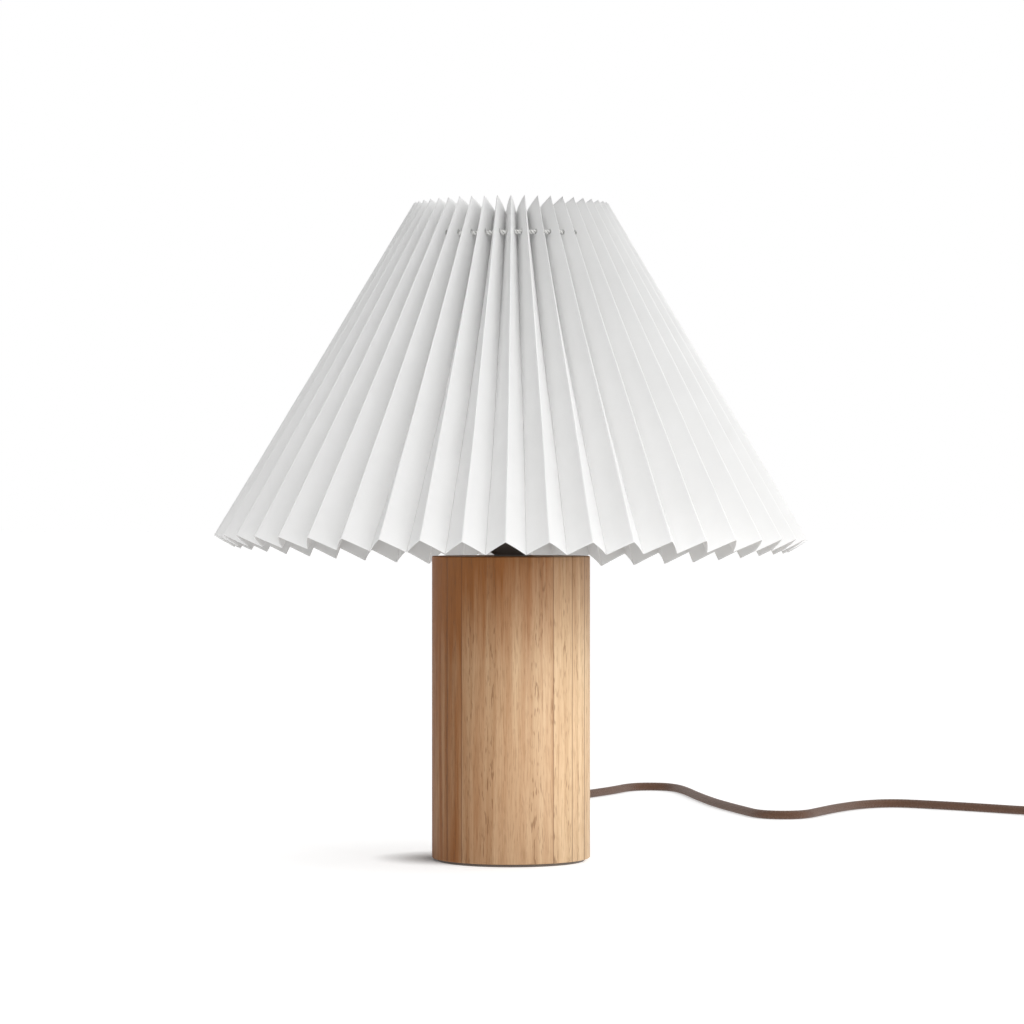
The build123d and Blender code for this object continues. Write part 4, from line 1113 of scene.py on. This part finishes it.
@dataclass
class PaperShade:
    """One strip of paper in pleats, closed into a cone, gathered on a string near its top edge.

    The creases lie where the construction has them. The lower edge droops and the folds waver
    a little, as paper does, so the drops name how far the rim hangs below it on each side.
    slants and shares are the lines down and across a panel, in millimetres and in shares of
    its width. The string lies in the middle of each panel's holes.
    """

    body: str = "shade"
    top_radius: float = 49.5 * MM
    top_z: float = 332.5 * MM
    half_angle: float = math.radians(30.7)
    strip: float = 197.0 * MM
    pleats: int = 46
    panel: float = 15.3 * MM
    mean_depth: float = 0.4
    paper: float = 0.30 * MM
    crease: float = 0.75 * MM
    bow: float = 0.45 * MM
    string_slant: float = 17.0 * MM
    hole_radius: float = 1.0 * MM
    hole_frame: float = 2.0 * MM
    drop_front: float = 0.9 * MM
    drop_back: float = 10.8 * MM
    drop_left: float = -1.4 * MM
    drop_right: float = 1.3 * MM
    drop_power: float = 1.7
    twist: float = math.radians(-0.95)
    waver: float = 0.7 * MM
    waver_scale: float = 17.0
    waver_above: float = 0.3
    waver_below: float = 1.7
    first_ridge: float = math.radians(-90.0)
    slants: tuple[float, ...] = (
        0, 1.2, 4, 8, 12, 30, 45, 62, 80, 100, 120, 138, 154, 168, 180, 189, 194, 196.2, 197)
    shares: tuple[float, ...] = (
        0.0, 0.018, 0.036, 0.06, 0.16, 0.28, 0.72, 0.84, 0.94, 0.964, 0.982, 1.0)
    ply: float = 0.48 * MM
    ply_sides: int = 7
    lay: float = 0.42 * MM
    lay_pitch: float = 3.6 * MM
    loosens: float = 0.8
    string_bulge: float = 0.55 * MM
    string_sag: float = 0.35 * MM
    string_wave: float = 0.25 * MM
    points_a_pleat: int = 8
    knot_radius: float = 0.62 * MM
    knot: tuple[tuple[float, float, float], ...] = (
        (-1.0, 1.6, -9.0), (-0.7, 1.7, -5.0), (-0.9, 1.2, -1.5), (0.4, 1.9, 0.8),
        (1.1, 1.2, -0.6), (0.0, 0.6, -1.3), (-1.1, 1.0, 0.2), (-0.2, 1.9, 1.1),
        (0.9, 1.7, -1.6), (0.8, 1.7, -6.0), (1.2, 1.8, -11.0),
    )

    def section(self, slant: float) -> tuple[float, float, float, float]:
        """Radius and height of a ridge and of a valley, some way down the slant.

        Args:
            slant: distance down the cone from the top edge.

        Returns:
            Ridge radius, ridge height, valley radius, valley height.
        """
        outward, downward = math.sin(self.half_angle), -math.cos(self.half_angle)
        ridge_r, ridge_z = self.top_radius + slant * outward, self.top_z + slant * downward
        half_pitch = math.pi * (ridge_r - self.mean_depth * self.panel) / self.pleats
        depth = math.sqrt(self.panel**2 - half_pitch**2)
        return ridge_r, ridge_z, ridge_r + depth * downward, ridge_z - depth * outward

    def rounded(self, share: float) -> float:
        """How deep a point lies across a panel, with both creases rounded.

        Args:
            share: from the ridge, 0, to the valley, 1.

        Returns:
            The depth, from 0 to 1.
        """
        soft = self.crease / self.panel
        if share < soft:
            return (share**2 + soft**2) / (2 * soft)
        if share > 1 - soft:
            return 1 - self.rounded(1 - share)
        return share

    def point(self, slant: float, share: float, side: int) -> tuple[float, float, float]:
        """A point of the middle pleat.

        Args:
            slant: distance down the cone.
            share: from the ridge, 0, to the valley, 1.
            side: 1 or -1, which panel.

        Returns:
            The point, with the ridge on +X.
        """
        ridge_r, ridge_z, valley_r, valley_z = self.section(slant)
        angle = math.pi / self.pleats
        deep = self.rounded(share)
        bulge = self.bow * 4 * share * (1 - share)
        radial = ridge_r + (valley_r * math.cos(angle) - ridge_r) * deep + bulge * 0.6
        beside = valley_r * math.sin(angle) * share + bulge * 0.8
        return radial, side * beside, ridge_z + (valley_z - ridge_z) * deep

    def pleat(self) -> bpy.types.Object:
        """One pleat of two panels, each with its punched hole.

        Returns:
            The pleat, with its ridge on +X.
        """
        rim = [-self.hole_frame, -self.hole_radius, 0.0, self.hole_radius, self.hole_frame]
        slants = sorted([s * MM for s in self.slants] + [self.string_slant + step for step in rim])
        shares = sorted([*self.shares, *(0.5 + step / self.panel for step in rim)])
        middle_row, middle_column = slants.index(self.string_slant), shares.index(0.5)
        points, faces = [], []
        for side in (1, -1):
            base = len(points)
            for row, slant in enumerate(slants):
                for column, share in enumerate(shares):
                    down, across = row - middle_row, column - middle_column
                    spot = slant, share
                    if max(abs(down), abs(across)) == 1:
                        reach = self.hole_radius / math.hypot(down, across)
                        spot = self.string_slant + down * reach, 0.5 + across * reach / self.panel
                    points.append(self.point(*spot, side))
            for row in range(len(slants) - 1):
                for column in range(len(shares) - 1):
                    if row - middle_row in (-1, 0) and column - middle_column in (-1, 0):
                        continue
                    first = base + row * len(shares) + column
                    quad = (first, first + len(shares), first + len(shares) + 1, first + 1)
                    faces.append(quad if side > 0 else quad[::-1])
        data = bpy.data.meshes.new("pleat")
        data.from_pydata(points, [], faces)
        return linked("paper_pleats", data)

    def fold_rule(self) -> Rule:
        """The tree that sets the pleats round the cone, lets the rim droop and the folds waver.

        Returns:
            The rule, ready to run on one pleat.
        """
        drops = (self.drop_front, self.drop_back, self.drop_left, self.drop_right)
        mean = sum(drops) / 4
        length, number = "NodeSocketFloat", "NodeSocketInt"
        rule = Rule("pleats_round_a_cone", {
            "Pleats": (number, self.pleats),
            "First Ridge": (length, self.first_ridge),
            "Top": (length, self.top_z),
            "Height": (length, self.top_z - self.section(self.strip)[3]),
            "Mean Drop": (length, mean),
            "Drop To The Right": (length, (self.drop_right - self.drop_left) / 2),
            "Drop To The Back": (length, (self.drop_back - self.drop_front) / 2),
            "Drop Of The Sides": (length, (self.drop_left + self.drop_right) / 2 - mean),
            "Twist": (length, self.twist),
            "Waver": (length, self.waver),
            "Seed": (number, SEED),
            "Paper": ("NodeSocketMaterial", PAPER.material()),
        })
        graph, given = rule.graph, rule.input
        points = graph.add("GeometryNodePoints", {"Count": given("Pleats")})
        index = graph.add("GeometryNodeInputIndex").outputs[0]
        turn = graph.over(graph.times(index, TURN), given("Pleats"))
        placed = graph.add("GeometryNodeInstanceOnPoints", {
            "Points": points.outputs[0],
            "Instance": given("Geometry"),
            "Rotation": graph.vector(z=graph.plus(turn, given("First Ridge"))),
        })
        real = graph.add("GeometryNodeRealizeInstances", {0: placed.outputs[0]})
        feeds = {"Geometry": real.outputs[0], "Distance": SAME_POINT}
        whole = graph.add("GeometryNodeMergeByDistance", feeds)

        place = graph.add("GeometryNodeInputPosition").outputs[0]
        x, y, z = graph.parts(place)
        radius = graph.math("SQRT", graph.plus(graph.times(x, x), graph.times(y, y)))
        right, back = graph.over(x, radius), graph.over(y, radius)
        sides = graph.less(graph.times(right, right), graph.times(back, back))
        down = graph.over(graph.less(given("Top"), z), given("Height"))
        drop = graph.plus(given("Mean Drop"), graph.times(right, given("Drop To The Right")))
        drop = graph.plus(drop, graph.times(back, given("Drop To The Back")))
        drop = graph.plus(drop, graph.times(sides, given("Drop Of The Sides")))
        fall = graph.times(graph.math("POWER", down, self.drop_power), graph.times(drop, -1.0))
        feeds = {"Vector": place, "Scale": self.waver_scale, "Detail": 1.0, "W": given("Seed")}
        noise = graph.add("ShaderNodeTexNoise", feeds, noise_dimensions="4D").outputs["Color"]
        reach = graph.plus(graph.times(down, self.waver_below), self.waver_above)
        reach = graph.times(reach, given("Waver"))
        centred = graph.vectors("SUBTRACT", noise, (0.5, 0.5, 0.5))
        wander = graph.vectors("SCALE", centred, by=reach)
        turned = graph.times(down, given("Twist"))
        sideways = graph.times(graph.times(y, -1.0), turned)
        droop = graph.vector(sideways, graph.times(x, turned), fall)
        feeds = {"Geometry": whole.outputs[0], "Offset": graph.vectors("ADD", wander, droop)}
        moved = graph.add("GeometryNodeSetPosition", feeds)
        smooth = graph.add("GeometryNodeSetShadeSmooth", {"Geometry": moved.outputs[0]})
        rule.finish(smooth.outputs[0], given("Paper"))
        return rule

    def string_place(self) -> tuple[float, float]:
        """Radius and height of the holes' middles."""
        ridge_r, ridge_z, valley_r, valley_z = self.section(self.string_slant)
        return (ridge_r + valley_r) / 2, (ridge_z + valley_z) / 2

    def string_line(self) -> list[Vector]:
        """The string's run through the holes, bulging a little in each gap between ridges.

        Returns:
            Points once round.
        """
        radius, height = self.string_place()
        steps = self.pleats * self.points_a_pleat
        line = []
        for i in range(steps):
            turn = TURN * i / steps
            fold = math.cos(self.pleats * turn)
            reach = radius - self.string_bulge * fold
            sag = self.string_sag * fold + self.string_wave * math.sin(5 * turn)
            angle = turn + self.first_ridge
            line.append(Vector((reach * math.cos(angle), reach * math.sin(angle), height + sag)))
        return line

    def knot_line(self) -> list[Vector]:
        """The string's ends, crossed in an overhand knot and hanging in the gap at the back.

        Returns:
            Points from end to end.
        """
        radius, height = self.string_place()
        angle = math.pi / 2 + math.pi / self.pleats
        out = Vector((math.cos(angle), math.sin(angle), 0))
        along = Vector((-math.sin(angle), math.cos(angle), 0))
        up = Vector((0, 0, 1))
        centre = out * radius + up * height
        return [centre + (along * a + out * o + up * u) * MM for a, o, u in self.knot]

    def gather_string(self) -> bpy.types.Object:
        """Two-ply string round the cone, with its knot.

        Returns:
            The string as one piece.
        """
        line = spline_points(self.string_line(), steps=4, closed=True)
        line.append(line[0].copy())
        length = run_length(line)
        pitch = length / round(length / self.lay_pitch)
        strands = []
        for phase in (0.0, math.pi):
            gone, strand = 0.0, []
            for here, after in zip(line, line[1:]):
                way = (after - here).normalized()
                out = Vector((here.x, here.y, 0)).normalized()
                up = way.cross(out)
                turn = TURN * gone / pitch + phase
                from_gap = math.atan2(here.y, here.x) - self.first_ridge - math.pi / self.pleats
                loose = 1 + self.loosens * max(0.0, math.cos(self.pleats * from_gap))
                reach = self.lay * loose
                strand.append(here + (out * math.cos(turn) + up * math.sin(turn)) * reach)
                gone += (after - here).length
            strand.append(strand[0].copy())
            sheet = tube_sheet(strand, self.ply, self.ply_sides, ends=False)
            strands.append(sheet.mesh(f"string_ply_{len(strands)}", STRING))
        knot = tube_sheet(spline_points(self.knot_line(), steps=8), self.knot_radius, 8)
        return joined("gather_string_plied", [*strands, knot.mesh("string_knot", STRING)])

    def build(self) -> list[bpy.types.Object]:
        """Fold the paper and thread the string.

        Returns:
            The paper and the string.
        """
        paper = self.pleat()
        self.fold_rule().run(paper)
        thick = paper.modifiers.new("paper_thickness", "SOLIDIFY")
        thick.thickness = self.paper
        thick.offset = -1.0
        thick.use_even_offset = False
        make_plain(paper)
        enter(paper, self.body, PAPER, "shade_paper")
        string = self.gather_string()
        enter(string, self.body, STRING, "gather_string")
        return [paper, string]


@dataclass
class MainsCord:
    """The braided cord, in one run from the column to the plug, and the strap round its coil.

    The route's points are in millimetres and given one by one, but for the coil's turns.
    """

    body: str = "stand"
    diameter: float = 5.0
    floor: float = 2.6
    coil_centre: tuple[float, float] = (350.0, 92.0)
    coil_outer: float = 32.0
    coil_pitch: float = 5.6
    coil_low: float = 3.7
    layer_turns: float = 2.0
    climb_turns: float = 0.5
    points_a_turn: int = 24
    sides: int = 16
    strap_thick: float = 0.8 * MM
    strap_corner: float = 2.4 * MM
    strap_edge: float = 0.25 * MM
    fittings: tuple[str, ...] = (
        "switch_lower", "switch_upper", "switch_rocker", "rocker_pin", "switch_contacts",
        "switch_screws", "plug_body", "plug_pins", "pin_sleeves",
    )

    def lead(self) -> list[tuple[float, float, float]]:
        """From the strain relief, over the floor, to the switch and out of it.

        Returns:
            The route's points.
        """
        f = self.floor
        return [
            (0, 62, 16), (0, 82, 16), (-2, 108, 9.5), (-6, 138, 3.6), (-12, 176, f), (-17, 222, f),
            (-13, 268, f), (2, 312, f), (24, 352, f), (46, 388, f), (64, 420, f), (74.5, 446, f),
            (88.5, 451.5, f), (102, 444.5, f), (108.5, 418, f), (113.5, 376, f), (121, 328, f),
            (129, 293, f), (135.5, 268, f), (142, 243.5, f), (154.6, 236.5, f), (168.5, 240.5, f),
            (179, 262, f), (191, 287, f), (208, 312, f), (228, 323, f), (250, 309, f),
            (276, 289, f), (302, 265, f), (317, 247, 4.6), (322, 231, 8), (322, 219, 8),
            (322, 157, 8), (322, 146, 8), (319.3, 130, 5.2), (318, 112, 3.7), (318, 97, 3.7),
        ]

    def tail(self) -> list[tuple[float, float, float]]:
        """From the coil to the plug's neck."""
        return [
            (382, 97, 9.3), (382, 109, 9.3), (379, 125, 8.4), (374, 139, 7.3), (372, 153, 7),
            (372, 165, 7),
        ]

    def coil(self) -> list[tuple[float, float, float]]:
        """The coil's turns: spiralling in, up a layer where it turns back, and out again.

        Returns:
            The route's points.
        """
        inner = self.coil_outer - self.coil_pitch * self.layer_turns
        total = 2 * self.layer_turns + self.climb_turns
        inside = 0.75 + 0.25 * math.cos(TURN / self.points_a_turn)
        made = []
        for i in range(1, round(total * self.points_a_turn)):
            turns = i / self.points_a_turn
            climbed = turns - self.layer_turns
            radius, height = self.coil_outer - self.coil_pitch * turns, self.coil_low
            if climbed > self.climb_turns:
                radius = inner + self.coil_pitch * (climbed - self.climb_turns)
                height += self.coil_pitch
            elif climbed > 0:
                radius = inner - self.coil_pitch * climbed * (1 - climbed / self.climb_turns)
                height += self.coil_pitch * (1 - math.cos(math.pi * climbed / self.climb_turns)) / 2
            angle = math.pi + TURN * turns
            across, along = radius / inside * math.cos(angle), radius / inside * math.sin(angle)
            made.append((self.coil_centre[0] + across, self.coil_centre[1] + along, height))
        return made

    def strap(self) -> bpy.types.Object:
        """Woven strap round the coil, a loop with rounded corners.

        Returns:
            The strap.
        """
        low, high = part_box("coil_tie")
        half = self.strap_thick / 2
        inset = half + self.strap_corner
        y0, y1, z0, z1 = low.y + inset, high.y - inset, low.z + inset, high.z - inset
        loop = []
        for y, z, start in ((y1, z1, 0), (y0, z1, 90), (y0, z0, 180), (y1, z0, 270)):
            for turned in range(start, start + 91, 15):
                angle = math.radians(turned)
                across, along = math.cos(angle), math.sin(angle)
                loop.append((y + self.strap_corner * across, z + self.strap_corner * along))
        rows, uv, gone = [], [], 0.0
        before = loop[-1]
        middle, width = (low.x + high.x) / 2, (high.x - low.x) / 2
        edge = width - self.strap_edge
        ring = [
            (-edge, -1), (0, -1), (edge, -1), (width, 0),
            (edge, 1), (0, 1), (-edge, 1), (-width, 0),
        ]
        for y, z in [*loop, loop[0]]:
            gone += math.hypot(y - before[0], z - before[1])
            before = (y, z)
            out = Vector((0, y - (y0 + y1) / 2, z - (z0 + z1) / 2)).normalized() * half
            rows.append([(middle + x, y + out.y * s, z + out.z * s) for x, s in ring])
            uv.append([((x + width) / (2 * width), gone) for x, _ in ring])
        band = Sheet(np.array(rows), around=True, uv=np.array(uv)).mesh("coil_strap", STRAP)
        close_poles(band)
        return band

    def build(self) -> list[bpy.types.Object]:
        """Lay the cord and strap its coil.

        Returns:
            The cord and the strap.
        """
        line = spline_points(scaled([*self.lead(), *self.coil(), *self.tail()]), steps=8)
        cord = tube_sheet(line, self.diameter * MM / 2, self.sides).mesh("textile_cord", BRAID)
        enter(cord, self.body, BRAID, "cord_lead", "cord_link", "cord_coil", "cord_tail")
        strap = self.strap()
        enter(strap, self.body, STRAP, "coil_tie")
        LOG.info("cord length %.4f m in %d points", run_length(line), len(line))
        return [cord, strap]


@dataclass(frozen=True)
class Lamp:
    """A studio light: where it stands, what it looks at, how broad and how strong it is.

    cone is a spot's angle in degrees, and 0 for a round panel.
    """

    name: str
    place: tuple[float, float, float]
    target: tuple[float, float, float]
    breadth: float
    energy: float
    cone: float = 0.0

    def light(self) -> None:
        """Set the light up, a spot where it has a cone and a round panel otherwise."""
        data = bpy.data.lights.new(self.name, "SPOT" if self.cone else "AREA")
        data.energy = self.energy
        if self.cone:
            data.spot_size, data.spot_blend = math.radians(self.cone), 1.0
            data.shadow_soft_size = self.breadth / 2
        else:
            data.shape, data.size = "DISK", self.breadth
        made = linked(self.name, data)
        made.location = self.place
        way = Vector(self.target) - Vector(self.place)
        made.rotation_euler = way.to_track_quat("-Z", "Y").to_euler()


@dataclass
class Studio:
    """White floor and surroundings, soft light from the right and the photograph's camera.

    dims_over is where the surroundings go from dim to full, by the way's share along X. The
    floor's glow starts round glow_from, over glow_grows, and weakens over glow_fades.
    """

    camera_place: tuple[float, float, float] = (0.0005, -1.802, 0.1762)
    lens: float = 125.16
    sensor: float = 36.0
    sees: tuple[float, float] = (0.05, 90.0)
    surroundings: float = 1.0
    left_side: float = 0.16
    dims_over: tuple[float, float] = (-0.75, -0.16)
    floor_reach: float = 30.0
    floor_tone: float = 0.70
    floor_glow: float = 0.60
    far_glow: float = 0.46
    glow_from: tuple[float, float] = (-0.030, 0.012)
    glow_grows: tuple[float, float] = (0.012, 0.042)
    glow_fades: tuple[float, float] = (0.10, 0.35)
    lamps: tuple[Lamp, ...] = (
        Lamp("key", (1.60, -1.20, 1.40), (0, 0, 0.2), 1.5, 4.6),
        Lamp("high_fill", (0.30, -1.10, 1.90), (0, 0, 0.25), 0.9, 3.6),
        Lamp("low_spot", (1.25, -1.38, 0.26), (0.001, 0, 0.066), 0.08, 80.0, 5.6),
    )

    def camera(self) -> None:
        """A level camera on the lamp's axis."""
        data = bpy.data.cameras.new("view")
        data.lens, data.sensor_width = self.lens, self.sensor
        data.clip_start, data.clip_end = self.sees
        made = linked("view", data)
        made.location = self.camera_place
        made.rotation_euler = (math.pi / 2, 0, 0)
        bpy.context.scene.camera = made

    def floor(self) -> None:
        """A wide white floor with a painted glow, kept off a patch at the column's left where the
        shadow shows.
        """
        reach = self.floor_reach
        corners = [(-reach, -reach, 0), (reach, -reach, 0), (reach, reach, 0), (-reach, reach, 0)]
        data = bpy.data.meshes.new("floor")
        data.from_pydata(corners, [], [(0, 1, 2, 3)])
        white = bpy.data.materials.new("white_floor")
        white.use_nodes = True
        graph = Graph(white.node_tree)
        # painted light: the floor glows, fading in away from a patch at the column's left so that
        # the shadow there keeps its dark
        away = graph.vectors("DISTANCE", graph.place(), (*self.glow_from, 0))
        near = graph.ramp(away, *self.glow_grows)
        far = graph.ramp(away, *self.glow_fades, self.floor_glow, self.far_glow)
        shader = graph.add("ShaderNodeBsdfPrincipled", {
            "Base Color": colour([self.floor_tone] * 3),
            "Roughness": 0.9,
            "Specular IOR Level": 0.0,
            "Emission Color": colour(WHITE),
            "Emission Strength": graph.times(near, far),
        })
        graph.add("ShaderNodeOutputMaterial", {"Surface": shader.outputs[0]})
        data.materials.append(white)
        linked("floor", data)

    def surround(self) -> None:
        """White light from all round, weaker from the left."""
        world = bpy.data.worlds.new("surroundings")
        world.use_nodes = True
        bpy.context.scene.world = world
        graph = Graph(world.node_tree)
        right = graph.parts(graph.add("ShaderNodeTexCoord").outputs["Generated"])[0]
        strength = graph.ramp(right, *self.dims_over, self.left_side, self.surroundings)
        feeds = {"Color": colour(WHITE), "Strength": strength}
        soft = graph.add("ShaderNodeBackground", feeds)
        graph.add("ShaderNodeOutputWorld", {"Surface": soft.outputs[0]})
        bpy.context.scene.view_settings.view_transform = "Standard"

    def build(self) -> list[bpy.types.Object]:
        """Set the studio up.

        Returns:
            Nothing to report, because none of it is part of the lamp.
        """
        self.camera()
        self.floor()
        self.surround()
        for lamp in self.lamps:
            lamp.light()
        return []


def dress_nodes() -> int:
    """Give each construction piece that stays its finish.

    Returns:
        How many pieces were dressed.
    """
    count = 0
    for finish, names in NODE_FINISHES.items():
        for name in names:
            slots = NODES[name].material_slots
            if not slots:
                NODES[name].data.materials.append(finish.material())
            for slot in slots:
                slot.material = finish.material()
            count += 1
    return count


def main() -> None:
    """Dress the construction pieces, build the studio and each sub-assembly, and log each piece's
    faces.
    """
    logging.basicConfig(level=logging.INFO, format="%(name)s: %(message)s", force=True)
    LOG.info("%d construction pieces dressed", dress_nodes())
    for part in (Studio(), MainsCord(), Column(), Lampholder(), PaperShade()):
        for piece in part.build():
            faces = len(piece.data.polygons)
            LOG.info("%s: %s, %d faces", type(part).__name__, piece.name, faces)


if __name__ == "__main__":
    main()
